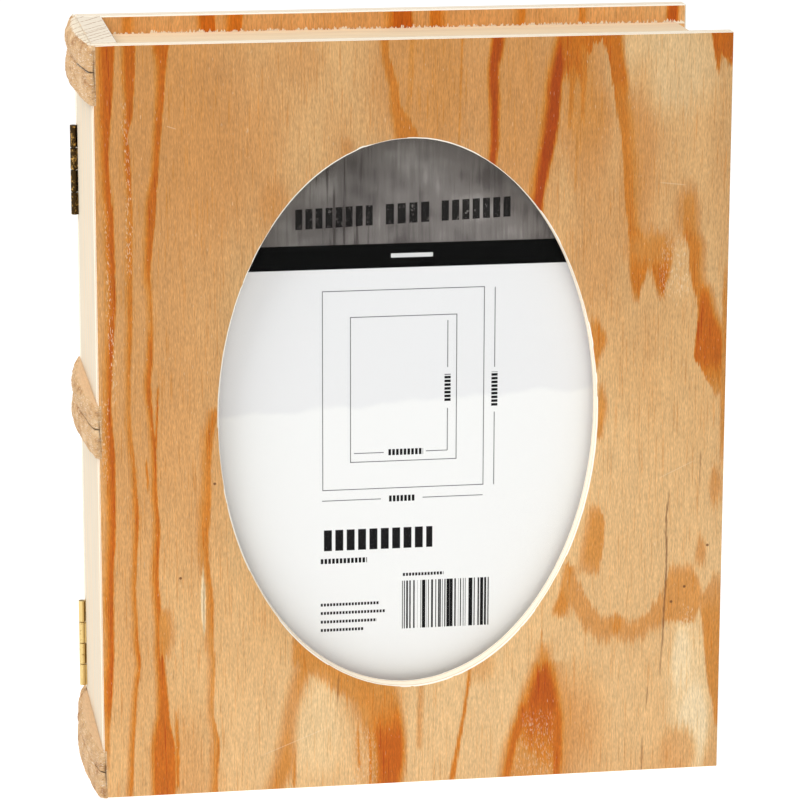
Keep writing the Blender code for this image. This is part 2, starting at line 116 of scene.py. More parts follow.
class Nodes:
    """A material's node tree, built from short calls that take numbers or sockets."""

    def __init__(self, name, roughness=0.5, metallic=0.0):
        self.material = bpy.data.materials.new(name)
        self.material.use_nodes = True
        self.tree = self.material.node_tree
        self.shader = self.tree.nodes["Principled BSDF"]
        self.shader.inputs["Roughness"].default_value = roughness
        self.shader.inputs["Metallic"].default_value = metallic

    def add(self, kind, inputs=(), **settings):
        node = self.tree.nodes.new(kind)
        for key, value in settings.items():
            setattr(node, key, value)
        for key, value in dict(inputs).items():
            self.set(node.inputs[key], value)
        return node

    def set(self, socket, value):
        if isinstance(value, bpy.types.NodeSocket):
            self.tree.links.new(value, socket)
        else:
            socket.default_value = value

    def math(self, operation, a, b=0.0, c=0.0):
        node = self.add("ShaderNodeMath", {0: a, 1: b, 2: c}, operation=operation)
        return node.outputs[0]

    def vector(self, operation, a, b=(0, 0, 0), c=(0, 0, 0)):
        node = self.add("ShaderNodeVectorMath", operation=operation)
        for socket, value in zip(node.inputs, (a, b, c)):
            self.set(socket, value)
        return node.outputs[1 if operation in ("DISTANCE", "DOT_PRODUCT") else 0]

    def combine(self, x, y, z):
        return self.add("ShaderNodeCombineXYZ", {0: x, 1: y, 2: z}).outputs[0]

    def separate(self, vector):
        return self.add("ShaderNodeSeparateXYZ", {0: vector}).outputs

    def span(self, value, low, high, out_low=0.0, out_high=1.0, smooth=True):
        """Value mapped from low..high to out_low..out_high, held beyond both ends."""
        node = self.add("ShaderNodeMapRange",
                        {0: value, 1: low, 2: high, 3: out_low, 4: out_high},
                        interpolation_type="SMOOTHSTEP" if smooth else "LINEAR")
        return node.outputs[0]

    def noise(self, point, size, seed=0.0, detail=2.0, rough=0.5):
        """Noise around 0.5 whose grains are about size millimetres along each axis."""
        scaled = self.vector("MULTIPLY_ADD", point, tuple(1.0 / s for s in size),
                             (seed, seed * 1.7, seed * 2.3))
        node = self.add("ShaderNodeTexNoise",
                        {"Vector": scaled, "Scale": 1.0, "Detail": detail, "Roughness": rough})
        return node.outputs[0]

    def curves(self, value, lines):
        """Three smooth functions of one value, through points scaled to 0..1."""
        node = self.add("ShaderNodeRGBCurve", {"Color": value})
        node.mapping.extend = "HORIZONTAL"
        for curve, points in zip(node.mapping.curves, lines):
            curve.points[0].location = points[0]
            curve.points[1].location = points[-1]
            for x, y in points[1:-1]:
                curve.points.new(x, y)
            for point in curve.points:
                point.handle_type = "AUTO_CLAMPED"
        node.mapping.update()
        return self.separate(node.outputs[0])

    def lerp(self, share, low, high):
        node = self.add("ShaderNodeMix", {0: share, 2: low, 3: high}, data_type="FLOAT")
        return node.outputs[0]

    def segment(self, point, start, end, radius, strength):
        """1 near a straight line between two (x, z) places, fading at its sides and ends."""
        (x0, z0), (x1, z1) = start, end
        length = math.hypot(x1 - x0, z1 - z0)
        along = (x1 - x0) / length, (z1 - z0) / length
        offset = self.vector("SUBTRACT", point, (x0, 0, z0))
        run = self.vector("DOT_PRODUCT", offset, (along[0], 0, along[1]))
        side = self.vector("DOT_PRODUCT", offset, (-along[1], 0, along[0]))
        near = self.span(self.math("ABSOLUTE", side), radius * 0.4, radius, 1.0, 0.0)
        middle = self.math("ABSOLUTE", self.math("SUBTRACT", run, length / 2))
        inside = self.span(middle, length * 0.3, length / 2, strength, 0.0)
        return self.math("MULTIPLY", near, inside)

    def mix(self, share, low, high, blend="MIX"):
        node = self.add("ShaderNodeMix", data_type="RGBA", blend_type=blend)
        self.set(node.inputs[0], share)
        self.set(node.inputs[6], low)
        self.set(node.inputs[7], high)
        return node.outputs[2]

    def ramp(self, value, stops, interpolation="EASE"):
        node = self.add("ShaderNodeValToRGB", {0: value})
        ramp = node.color_ramp
        ramp.interpolation = interpolation
        ramp.elements[0].position, ramp.elements[0].color = stops[0]
        ramp.elements[1].position, ramp.elements[1].color = stops[-1]
        for position, colour in stops[1:-1]:
            ramp.elements.new(position).color = colour
        return node.outputs[0]

    def shade(self, colour, amount):
        """Colour made lighter or darker by a factor around 1."""
        grey = self.combine(amount, amount, amount)
        return self.mix(1.0, colour, grey, "MULTIPLY")

    def book_point(self):
        """Book coordinates of the shaded point."""
        metres = self.add("ShaderNodeTexCoord").outputs["Object"]
        return self.vector("MULTIPLY_ADD", metres, (1 / MM,) * 3, tuple(COVER_LO / -MM))

    def normal(self):
        """The surface's own normal, which turns with the piece it belongs to."""
        return self.separate(self.add("ShaderNodeTexCoord").outputs["Normal"])

    def facing(self, component, low=0.75, high=0.85):
        """1 where the surface's normal lies along this axis, either way."""
        return self.span(self.math("ABSOLUTE", component), low, high)

    def finish(self, colour, height=None, bump=0.3, distance=0.1, roughness=None):
        self.set(self.shader.inputs["Base Color"], colour)
        if roughness is not None:
            self.set(self.shader.inputs["Roughness"], roughness)
        if height is not None:
            node = self.add("ShaderNodeBump", {"Strength": bump, "Distance": distance * MM,
                                               "Height": height})
            self.set(self.shader.inputs["Normal"], node.outputs[0])
        return self.material


# Veneer figure ---------------------------------------------------------------------

# Colour of the veneer by its share of dark late wood
PIGMENT = [(0.0, srgb(238, 214, 172)), (0.15, srgb(229, 196, 146)), (0.3, srgb(220, 174, 117)),
           (0.45, srgb(209, 151, 90)), (0.6, srgb(206, 140, 66)), (0.75, srgb(203, 121, 34)),
           (0.88, srgb(190, 96, 14)), (1.0, srgb(170, 68, 3))]
PLAIN = 0.33                    # share of late wood where no streak lies
FIBRE_LIGHT = srgb(246, 228, 196)
CRACK_DARK = srgb(112, 70, 38)
HEAD_PAINTED_SHADE = 0.88               # painted shade: the veneer is made a little darker towards its head, standing in for light that falls off there
HEAD_REACH = (50.0, 190.0)
EDGE_MARGIN = 10.0              # curves reach this far beyond the cover's outline
END_FADE = 0.008                # share of the cover over which a streak's end fades


class Stroke:
    """A streak of late wood given by (z, left, right, strength) points from foot to head.

    Its two edges fade over their own distances. With across it runs along x instead and
    its points are (x, bottom, top, strength).
    """

    def __init__(self, pigment, soft_low, soft_high, points, across=False):
        self.pigment, self.across = pigment, across
        self.soft_low, self.soft_high = soft_low, soft_high
        self.points = [point if len(point) == 4 else (*point, 1.0) for point in points]

    def curve_points(self):
        """Low edge, high edge and strength against the run, all scaled to 0..1."""
        length, width = (BOOK_W, BOOK_H) if self.across else (BOOK_H, BOOK_W)
        runs = [share_of(run, length) for run, *_ in self.points]
        low = [(a, share_of(point[1], width)) for a, point in zip(runs, self.points)]
        high = [(a, share_of(point[2], width)) for a, point in zip(runs, self.points)]
        strength = [(a, point[3]) for a, point in zip(runs, self.points)]
        if self.points[0][0] > 0:
            strength.insert(0, (runs[0] - END_FADE, 0.0))
        if self.points[-1][0] < length:
            strength.append((runs[-1] + END_FADE, 0.0))
        return low, high, strength

    def mask(self, nodes, figure):
        run, over, width = ((figure.run_x, figure.over_z, BOOK_H) if self.across
                            else (figure.run_z, figure.over_x, BOOK_W))
        low, high, strength = nodes.curves(run, self.curve_points())
        scale = width + 2 * EDGE_MARGIN
        over = nodes.math("ADD", over, EDGE_MARGIN)
        above = nodes.math("MULTIPLY_ADD", low, -scale, over)
        below = nodes.math("MULTIPLY_ADD", high, -scale, over)
        rise = nodes.span(above, -OUTSIDE * self.soft_low, INSIDE * self.soft_low)
        fall = nodes.span(below, -INSIDE * self.soft_high, OUTSIDE * self.soft_high, 1.0, 0.0)
        return figure.fibrous(nodes.math("MULTIPLY", nodes.math("MULTIPLY", rise, fall), strength))


class Patch:
    """A soft oval tint: pigment, strength, middle, radii and the fade as a share."""

    def __init__(self, pigment, strength, x, z, radius_x, radius_z, fade=0.6):
        self.pigment, self.strength, self.fade = pigment, strength, fade
        self.middle, self.radii = (x, z), (radius_x, radius_z)

    def mask(self, nodes, figure):
        (x, z), (radius_x, radius_z) = self.middle, self.radii
        scaled = nodes.vector("MULTIPLY", figure.feathered, (1 / radius_x, 0, 1 / radius_z))
        reach = nodes.vector("DISTANCE", scaled, (x / radius_x, 0, z / radius_z))
        return figure.fibrous(nodes.span(reach, 1 - self.fade, 1 + self.fade, self.strength, 0.0))


def share_of(value, length):
    """A coordinate scaled to 0..1 over the cover and the margin beyond it."""
    return (value + EDGE_MARGIN) / (length + 2 * EDGE_MARGIN)


# How far single fibres carry the figure's outlines with them, in millimetres
SWAY = 0.7
FRAY = 0.7
RUN_DRAG = 6.0                  # along the grain, where a streak's course is read
EDGE_DRAG = 9.0                 # along the grain, where a streak across it ends
TINT_DRAG = 10.0                # along the grain, where a tint ends
FIBRE_LIFT = 1.6                # how much fibres break up a soft edge
# How much of a streak's softness lies outside and inside its outline
OUTSIDE, INSIDE = 1.1, 0.4


class FigureSpace:
    """Veneer coordinates, shifted fibre by fibre so that outlines follow the grain."""

    def __init__(self, nodes, point):
        self.nodes = nodes
        x, _, z = nodes.separate(point)
        self.straight = nodes.combine(x, 0.0, z)
        fray = nodes.math("SUBTRACT", nodes.noise(point, (0.34, 2, 2.6), 7.7, 1.0), 0.5)
        self.thread = nodes.noise(point, (0.4, 2, 6), 3.3, 2.0)
        thread = nodes.math("SUBTRACT", self.thread, 0.5)
        sway = nodes.math("SUBTRACT", nodes.noise(point, (6, 9, 16), 3.1, 1.0), 0.5)
        self.over_x = nodes.math("MULTIPLY_ADD", sway, SWAY, x)
        self.over_x = nodes.math("MULTIPLY_ADD", fray, FRAY, self.over_x)
        self.over_z = nodes.math("MULTIPLY_ADD", thread, EDGE_DRAG, z)
        self.run_x = self.share(x, BOOK_W)
        self.run_z = self.share(nodes.math("MULTIPLY_ADD", thread, RUN_DRAG, z), BOOK_H)
        reach = nodes.math("MULTIPLY_ADD", thread, TINT_DRAG, z)
        self.feathered = nodes.combine(self.over_x, 0.0, reach)

    def share(self, value, length):
        scale = 1 / (length + 2 * EDGE_MARGIN)
        return self.nodes.math("MULTIPLY_ADD", value, scale, EDGE_MARGIN * scale)

    def fibrous(self, mask):
        """A mask whose soft parts break up into fibres."""
        nodes = self.nodes
        softness = nodes.math("MULTIPLY", mask, nodes.math("SUBTRACT", 1.0, mask))
        lift = nodes.math("MULTIPLY_ADD", self.thread, FIBRE_LIFT, -FIBRE_LIFT / 2)
        mask = nodes.math("MULTIPLY_ADD", softness, lift, mask)
        return nodes.span(mask, 0.0, 1.0, smooth=False)


FIGURE = [
    # Broad tints under everything
    Patch(0.52, 0.85, 14, 195, 34, 40, 0.6),
    Patch(0.44, 0.85, 12, 128, 18, 60, 0.6),
    Patch(0.36, 0.85, 42, 14, 26, 26, 0.5),
    Patch(0.56, 0.8, 92, 204, 14, 24, 0.6),
    Patch(0.5, 0.85, 119, 200, 12, 34, 0.6),
    Patch(0.62, 0.8, 139, 197, 7, 22, 0.6),
    Patch(0.42, 0.85, 142, 160, 8, 24, 0.6),
    Patch(0.24, 0.8, 140, 60, 60, 60, 0.5),
    Patch(0.20, 0.8, 80, 10, 60, 40, 0.6),
    Patch(0.16, 0.8, 160, 208, 16, 14, 0.5),
    Patch(0.12, 0.9, 171, 22, 6, 24, 0.5),
    Patch(0.0, 0.85, 172.5, 13, 4.2, 13, 0.3),
    Patch(0.02, 0.8, 168.5, 34, 2.6, 9, 0.35),
    Patch(0.50, 0.8, 153, 181, 5, 24, 0.6),
    Patch(0.46, 0.6, 88, 202, 5, 16, 0.5),
    Patch(0.50, 0.9, 167.5, 166, 3.4, 8, 0.6),
    Patch(0.46, 0.8, 138, 14, 7, 15, 0.7),
    Patch(0.42, 0.8, 168, 5, 5.5, 8, 0.3),
    Patch(0.42, 0.7, 24, 8, 6, 16, 0.6),
    Patch(0.52, 0.7, 50, 172, 3.5, 6, 0.6),
    Patch(0.45, 0.6, 58, 212, 5, 7, 0.7),
    # Streaks along the spine side
    Stroke(0.88, 2.2, 0.5, [
        (10, 0.6, 1.4, 0.4), (24, 0.8, 2.0, 0.7), (34, 1.2, 2.8), (42, 1.8, 3.2), (52, 2.0, 3.3),
        (60, 2.2, 3.4), (68, 2.4, 3.6), (80, 2.9, 4.2), (92, 3.1, 4.5), (100, 2.9, 4.5),
        (108, 2.7, 4.0), (116, 2.9, 3.7), (128, 3.2, 4.3), (138, 3.9, 4.9), (150, 4.2, 5.3),
        (160, 3.7, 5.2), (170, 3.5, 4.9), (178, 2.9, 4.2), (184, 2.9, 3.9), (192, 2.9, 4.5),
        (200, 2.8, 5.0), (208, 2.6, 5.5), (217, 2.6, 5.9)]),
    Stroke(0.85, 1.6, 0.45, [
        (0, 7.0, 8.0, 0.7), (8, 7.6, 8.4, 0.8), (16, 8.1, 8.8, 0.8), (24, 8.8, 9.4, 0.8),
        (32, 9.5, 9.9, 0.9), (40, 10.5, 11.0, 0.9), (44, 10.0, 10.5), (52, 9.5, 9.9, 0.8),
        (60, 9.2, 9.7, 0.8), (70, 9.7, 10.2, 0.8), (82, 10.4, 11.0), (92, 10.0, 10.5, 0.8),
        (100, 9.5, 10.0, 0.7), (112, 8.7, 9.1, 0.7), (120, 8.7, 9.1, 0.7), (130, 8.9, 9.5, 0.8),
        (142, 9.1, 9.9, 0.8), (152, 9.0, 10.2, 0.7), (158, 8.9, 10.2, 0.7),
        (170, 9.6, 10.4, 0.7), (178, 9.2, 10.1, 0.9), (186, 8.7, 9.8), (191, 8.7, 9.4),
        (195, 9.1, 10.4), (202, 9.2, 11.1), (210, 8.9, 11.4), (217, 8.7, 11.6)]),
    Stroke(0.84, 1.6, 0.5, [
        (0, 14.4, 20.2), (8, 14.3, 20.6), (16, 14.4, 20.2), (21, 15.2, 19.0), (26, 16.0, 18.6),
        (34, 16.0, 18.0), (42, 15.8, 17.5), (50, 15.9, 17.2), (58, 15.4, 16.5),
        (66, 15.3, 16.1), (78, 15.8, 16.7), (90, 15.5, 16.1), (102, 15.3, 16.1),
        (110, 14.8, 15.4), (120, 13.9, 14.9), (130, 14.6, 15.6), (142, 15.0, 15.5, 0.7),
        (152, 14.1, 15.1, 0.8), (160, 14.4, 15.8), (172, 14.7, 16.8), (182, 16.3, 17.5),
        (192, 17.2, 18.5), (202, 17.9, 19.3), (210, 18.2, 20.0), (217, 17.2, 21.0)]),
    Stroke(0.75, 0.6, 0.4, [(3, 21.0, 21.5), (14, 21.0, 21.7), (24, 20.8, 21.2, 0.5)]),
    Stroke(0.6, 0.5, 2.5, [(43, 16.5, 18.0), (48, 16.5, 19.2), (54, 16.5, 18.5)]),
    Stroke(0.85, 0.4, 0.3, [(105, 16.2, 16.5), (112, 16.5, 16.8), (119, 16.8, 17.0)]),
    Stroke(0.8, 0.4, 0.3, [(91, 13.6, 13.9, 0.6), (98, 13.2, 13.5)]),
    Stroke(0.72, 2.6, 0.45, [
        (0, 31.5, 32.3), (6, 31.9, 32.6), (14, 32.4, 33.2), (19, 31.9, 32.4),
        (24, 31.2, 31.6, 0.8), (32, 31.5, 31.9, 0.8), (40, 31.8, 32.2, 0.8),
        (44, 31.0, 31.7, 0.8), (52, 30.8, 31.8), (60, 30.5, 31.6), (67, 29.7, 30.7),
        (74, 29.2, 30.6), (82, 29.2, 31.1), (90, 30.0, 31.4), (98, 30.3, 31.5),
        (106, 30.7, 32.2), (112, 32.4, 33.4)]),
    Patch(0.0, 0.95, 29.0, 57, 0.7, 9, 0.35),
    # Flames under the window
    Stroke(0.62, 3.4, 2.2, [
        (0, 48.2, 50.8), (8, 50.6, 54.0), (16, 52.4, 54.8), (24, 53.8, 56.0), (32, 55.6, 58.0),
        (37, 56.8, 60.5), (41, 57.5, 64.0)]),
    Stroke(0.62, 0.6, 0.4, [(2, 54.4, 54.9), (15, 54.8, 55.3, 0.6)]),
    Stroke(0.62, 2.0, 5.0, [(56, 38.5, 46), (62, 33.0, 41), (68, 29.0, 36), (76, 24.0, 31)],
           across=True),
    Patch(0.14, 0.75, 61.5, 18, 7.0, 14, 0.45),
    Stroke(0.93, 4.0, 2.0, [
        (0, 79.3, 85.4, 0.9), (10, 79.0, 86.4, 0.95), (18, 77.0, 86.0, 0.9), (24, 75.4, 84.8, 0.75),
        (33, 76.5, 82.5, 0.4), (40, 77.0, 82.0, 0.2)]),
    Patch(0.6, 0.7, 78, 27, 7.5, 9, 0.7),
    Patch(0.45, 0.5, 75, 10, 3.2, 12, 0.4),
    Stroke(0.75, 0.3, 0.3, [(0, 76.6, 77.2), (9, 76.8, 77.3), (18, 76.5, 77.0, 0.6)]),
    Stroke(0.7, 0.3, 0.3, [(6, 73.6, 74.0), (17, 73.2, 73.6, 0.7)]),
    Stroke(0.45, 1.0, 1.2, [(12, 91.0, 91.7), (29, 91.4, 92.2)]),
    Stroke(0.76, 0.6, 0.5, [
        (0, 100.3, 101.5), (4, 101.0, 102.1), (10, 102.3, 103.0), (16, 103.3, 103.9),
        (22, 104.4, 104.9), (28, 105.4, 105.9), (34, 106.0, 106.4)]),
    Patch(0.46, 0.6, 109, 35, 4, 5, 0.6),
    Stroke(0.55, 2.4, 6.0, [
        (0, 115.6, 133.0), (10, 117.2, 133.4), (18, 120.0, 133.6), (26, 122.4, 132.0),
        (33, 125.0, 130.4)]),
    Stroke(0.95, 3.0, 2.6, [
        (4, 128.6, 132.0, 0.3), (12, 122.2, 132.2, 0.6), (20, 122.8, 131.8, 0.85),
        (27, 124.8, 130.6, 0.95), (34, 126.6, 128.8, 0.7), (40, 127.0, 128.4, 0.2)]),
    Stroke(0.84, 0.6, 0.8, [(0, 131.0, 132.6), (8, 131.2, 133.0), (18, 130.6, 132.8)]),
    Stroke(0.84, 1.2, 0.8, [(0, 116.2, 117.8, 0.8), (6, 117.4, 118.6), (14, 119.0, 121.0),
                            (20, 121.0, 123.5)]),
    Stroke(0.66, 0.3, 0.3, [(34, 127.0, 127.3), (43, 127.0, 127.2, 0.6)]),
    # Streaks above the window
    Stroke(0.72, 1.2, 0.6, [
        (186, 84.4, 92.0), (191, 84.2, 89.8), (195, 83.6, 87.4), (199, 82.9, 85.2),
        (204, 82.6, 84.6), (208, 81.6, 83.6), (212, 80.6, 82.2), (217, 80.0, 81.8)]),
    Stroke(0.62, 0.6, 0.8, [(196, 86.8, 88.0, 0.6), (206, 87.6, 88.8, 0.7), (217, 88.0, 89.0)]),
    Stroke(0.68, 0.4, 0.4, [(186, 101.6, 101.9, 0.6), (200, 102.1, 102.4, 0.8),
                            (217, 102.6, 103.0)]),
    Stroke(0.97, 1.2, 1.2, [
        (180, 110.6, 112.0), (190, 111.2, 112.9), (198, 111.0, 112.8), (207, 110.5, 112.6),
        (212, 110.9, 113.4), (217, 111.5, 114.0)]),
    Stroke(0.99, 2.6, 1.0, [
        (166, 122.6, 125.4), (173, 123.9, 126.2), (180, 124.8, 127.6), (188, 126.2, 129.2),
        (196, 127.1, 130.2), (204, 127.8, 130.8), (212, 129.4, 132.6), (217, 130.4, 134.4)]),
    Stroke(0.8, 1.5, 0.35, [(205, 132.4, 138.0, 0.5), (210, 132.0, 137.6), (213, 131.5, 139.0),
                            (217, 131.0, 144.6)]),
    Stroke(0.72, 0.4, 0.8, [(192, 133.0, 133.6, 0.6), (206, 133.4, 134.6)]),
    Stroke(0.72, 0.4, 0.8, [(194, 136.6, 137.4, 0.6), (213, 136.4, 137.6)]),
    Stroke(0.58, 0.3, 0.5, [(174, 135.0, 135.4, 0.6), (192, 135.4, 135.8)]),
    Stroke(0.82, 0.3, 0.4, [(204, 145.4, 145.9), (210, 144.4, 145.0), (217, 142.0, 143.4)]),
    Stroke(0.8, 0.4, 1.4, [(195, 146.6, 148.4, 0.6), (203, 145.9, 149.4), (209, 145.0, 148.4),
                           (217, 143.4, 147.6)]),
    Stroke(0.72, 0.4, 3.0, [
        (154, 151.6, 153.6), (162, 150.8, 152.2), (170, 149.6, 151.6), (178, 149.2, 151.4),
        (186, 148.6, 150.6), (194, 147.5, 150.2), (202, 146.6, 148.6, 0.7)]),
    # Right of the window
    Stroke(0.8, 1.2, 0.8, [(143, 160.0, 161.2, 0.8), (147, 158.6, 162.2), (153, 157.4, 163.2),
                           (158, 157.6, 161.0, 0.7)]),
    Stroke(0.76, 0.9, 0.9, [(142, 152.8, 153.6, 0.7), (148, 151.8, 155.4), (154, 151.4, 157.4),
                            (161, 151.4, 153.8, 0.7)]),
    Patch(0.6, 0.8, 157.5, 156, 6.5, 5.0, 0.5),
    Patch(0.28, 0.6, 165.5, 148, 2.8, 8, 0.35),
    Stroke(0.72, 0.5, 3.0, [(138, 171.4, 173.0), (144, 170.0, 172.4), (150, 168.8, 171.4),
                            (156, 168.4, 171.4), (161, 166.6, 169.6, 0.8),
                            (170, 166.6, 168.6, 0.5)]),
    Stroke(0.86, 0.4, 2.6, [
        (114, 176.5, 180.0, 0.5), (120, 173.0, 180.0, 0.8), (125, 170.6, 180.0),
        (131, 171.0, 178.0), (137, 171.6, 175.4), (143, 172.0, 174.0, 0.7)]),
    Stroke(0.6, 0.5, 0.3, [(92, 178.9, 179.6, 0.4), (110, 178.7, 179.8), (136, 178.6, 179.8),
                           (150, 178.9, 179.7, 0.3)]),
    Stroke(0.6, 0.4, 1.4, [(102, 142.6, 143.6), (110, 142.8, 144.6), (116, 142.8, 143.6, 0.5)]),
    Stroke(0.66, 0.4, 1.2, [(124, 141.0, 142.2), (130, 140.6, 144.4), (135, 140.4, 142.2, 0.6)]),
    Stroke(0.6, 2.6, 0.5, [(62, 139.0, 143.6, 0.7), (68, 139.5, 144.5), (76, 141.0, 144.9),
                           (80, 141.5, 143.6, 0.6)]),
    Stroke(0.66, 1.0, 2.2, [(50, 130.6, 133.8), (56, 132.6, 135.8), (62, 134.0, 135.6)]),
    Stroke(0.52, 3.0, 2.0, [
        (134, 56, 62, 0.6), (138, 48, 57), (142, 43.5, 49.5), (146, 41.5, 46.0),
        (149, 42.0, 47.0), (153, 41.5, 44.6), (158, 43.0, 47.6), (162, 46.0, 53.0)],
        across=True),
    Patch(0.64, 0.9, 149.2, 45.2, 1.4, 2.6, 0.6),
    Stroke(0.55, 0.3, 1.2, [(46.5, 163.0, 172.0), (52, 163.2, 174.0), (57, 163.4, 173.0),
                            (61, 164.4, 171.0, 0.7)]),
    Patch(0.52, 0.9, 173.6, 66, 1.4, 4.2, 0.5),
    Patch(0.5, 0.9, 177.6, 85.5, 1.8, 5.5, 0.5),
    Stroke(0.62, 0.6, 0.3, [
        (14, 179.2, 180.0), (18, 178.6, 180.0), (25, 177.2, 180.0), (32, 176.2, 180.0),
        (44, 174.8, 180.0), (50, 174.2, 180.0, 0.8), (58, 177.4, 180.0, 0.4)]),
    Stroke(0.85, 0.4, 0.8, [(207, 175.4, 176.0, 0.6), (211, 174.6, 176.6), (217, 173.8, 177.0)]),
    Stroke(0.85, 0.6, 0.4, [(209, 178.6, 180.0), (212, 176.8, 180.0), (217, 176.0, 180.0)]),
    Stroke(0.5, 1.5, 1.5, [(176, 69.0, 71.0), (188, 69.5, 71.5, 0.7)]),
]

BACK_FIGURE = [
    Patch(0.5, 0.8, 90, 190, 90, 40, 0.6),
    Patch(0.2, 0.8, 40, 70, 30, 60, 0.5),
    Patch(0.24, 0.8, 150, 90, 26, 60, 0.5),
    Stroke(0.86, 1.6, 0.5, [(0, 33.0, 36.0), (60, 37.0, 39.0), (130, 34.0, 36.6),
                            (180, 37.0, 40.0), (217, 36.0, 40.4)]),
    Stroke(0.82, 2.4, 0.5, [(0, 47.0, 50.0), (70, 43.5, 46.0), (140, 45.0, 47.2),
                            (190, 44.0, 47.0), (217, 44.6, 48.4)]),
    Stroke(0.9, 4.0, 1.0, [(0, 84.0, 92.0), (40, 87.0, 97.0), (90, 93.0, 99.0),
                           (150, 97.0, 101.0), (195, 93.0, 100.0), (217, 92.6, 97.6)]),
    Stroke(0.8, 0.8, 3.0, [(60, 96.0, 98.0), (120, 101.0, 104.0), (180, 104.0, 107.0),
                           (217, 103.6, 106.4)]),
    Stroke(0.74, 3.0, 0.6, [(0, 122.0, 125.0), (80, 128.0, 131.0), (150, 126.0, 128.0),
                            (217, 130.0, 131.6)]),
    Stroke(0.7, 0.6, 2.0, [(0, 148.0, 149.0), (110, 144.0, 145.6), (217, 148.0, 149.4)]),
    Stroke(0.92, 1.2, 0.8, [(0, 170.0, 173.0), (70, 173.0, 175.0), (150, 171.0, 173.6),
                            (190, 174.0, 176.6), (217, 174.6, 177.4)]),
    Stroke(0.7, 1.0, 2.0, [(0, 12.0, 13.4), (80, 15.0, 16.0), (160, 12.6, 14.0),
                           (217, 14.0, 16.0)]),
    Patch(0.92, 0.9, 66, 40, 5, 18, 0.4),
    Patch(0.1, 0.7, 66, 14, 4, 16, 0.4),
]
# Torn pale fibres beside the streaks
TORN = [
    Stroke(1.0, 0.5, 0.5, [(118, 4.4, 5.4, 0.8), (128, 3.6, 5.4), (140, 3.2, 4.4, 0.8),
                           (160, 3.0, 3.8, 0.7), (172, 2.4, 3.4, 0.6)]),
    Stroke(1.0, 0.6, 0.6, [(154, 8.6, 9.8, 0.7), (166, 8.8, 10.2), (182, 8.6, 9.6, 0.9),
                           (200, 7.8, 8.8, 0.6)]),
    Stroke(1.0, 0.5, 0.5, [(96, 1.2, 2.6, 0.8), (116, 1.0, 3.0, 0.8)]),
    Stroke(1.0, 0.8, 0.8, [(0, 72.0, 79.0, 0.6), (16, 72.5, 78.0, 0.5)]),
    Stroke(1.0, 0.8, 0.8, [(0, 118.5, 131.0, 0.6), (18, 122.0, 130.5, 0.5)]),
    Stroke(1.0, 0.8, 0.8, [(143, 160.0, 169.0, 0.6), (158, 161.0, 167.0, 0.5)]),
    Stroke(1.0, 0.4, 0.4, [(44, 168.4, 172.4, 0.9), (48, 168.0, 171.6, 0.9)]),
]
CRACKS = [
    Stroke(0.75, 0.3, 0.3, [
        (30, 162.2, 162.4, 0.7), (38, 162.6, 162.8, 0.8), (46, 162.8, 163.1), (60, 163.3, 163.6),
        (68, 163.2, 163.5), (76, 163.1, 163.4), (83, 163.8, 164.0, 0.6)]),
    Stroke(0.7, 0.25, 0.25, [(0, 157.0, 157.2), (9, 157.2, 157.4, 0.7)]),
    Stroke(0.6, 0.25, 0.25, [(20, 158.1, 158.3, 0.6), (24, 158.4, 158.6)]),
    Stroke(0.6, 0.25, 0.25, [(25, 67.4, 67.6, 0.5), (31, 67.5, 67.8)]),
    Stroke(0.55, 0.25, 0.25, [(86, 172.8, 173.0, 0.5), (94, 172.9, 173.1)]),
    Stroke(0.5, 0.3, 0.3, [(48, 28.9, 29.1, 0.4), (57, 29.0, 29.3), (65, 29.1, 29.3, 0.4)]),
]
SPECKS = [(165.2, 51.2), (169.0, 55.6), (32.6, 92.0), (22.6, 64.7), (175.6, 67.8)]
SPECK_RADIUS = 0.42
SCRATCH_RADIUS = 0.16
SCRATCHES = [((44.0, 10.0), (66.0, 18.6)), ((160.0, 88.0), (172.0, 93.6)),
             ((159.0, 174.8), (167.5, 173.8)), ((20.0, 194.4), (23.0, 193.4))]


def veneer_light(nodes, point):
    """Brightness of the fibres, around 1, with painted shade darkening it towards the head."""
    short = nodes.noise(point, (0.26, 2, 1.5), 5.2, 1.0)
    long = nodes.noise(point, (0.34, 2, 7), 15.2, 2.0)
    cloud = nodes.noise(point, (9, 9, 22), 1.3, 2.0)
    light = nodes.math("MULTIPLY_ADD", nodes.math("SUBTRACT", short, 0.5), 0.75, 1.0)
    light = nodes.math("MULTIPLY_ADD", nodes.math("SUBTRACT", long, 0.5), 0.55, light)
    light = nodes.math("MULTIPLY_ADD", nodes.math("SUBTRACT", cloud, 0.5), 0.18, light)
    # Painted shade: the fibres' brightness falls off towards the veneer's head
    height = nodes.separate(point)[2]
    return nodes.math("MULTIPLY", light, nodes.span(height, *HEAD_REACH, 1.0, HEAD_PAINTED_SHADE))


def veneer_face(nodes, point, figure, detailed):
    """Colour of a veneered face from its late-wood figure."""
    space = FigureSpace(nodes, point)
    cloud = nodes.noise(point, (16, 16, 60), 11.3, 2.0)
    share = nodes.math("MULTIPLY_ADD", nodes.math("SUBTRACT", cloud, 0.5), 0.3, PLAIN)
    for item in figure:
        share = nodes.lerp(item.mask(nodes, space), share, item.pigment)
    hair = nodes.noise(point, (0.34, 2, 13), 41.0, 1.0)
    share = nodes.math("ADD", share, nodes.span(hair, 0.6, 0.72, 0.0, 0.12))
    light = veneer_light(nodes, point)
    colour = nodes.shade(nodes.ramp(share, PIGMENT, "LINEAR"), light)
    if detailed:
        colour = veneer_wear(nodes, point, space, colour)
    return colour, light


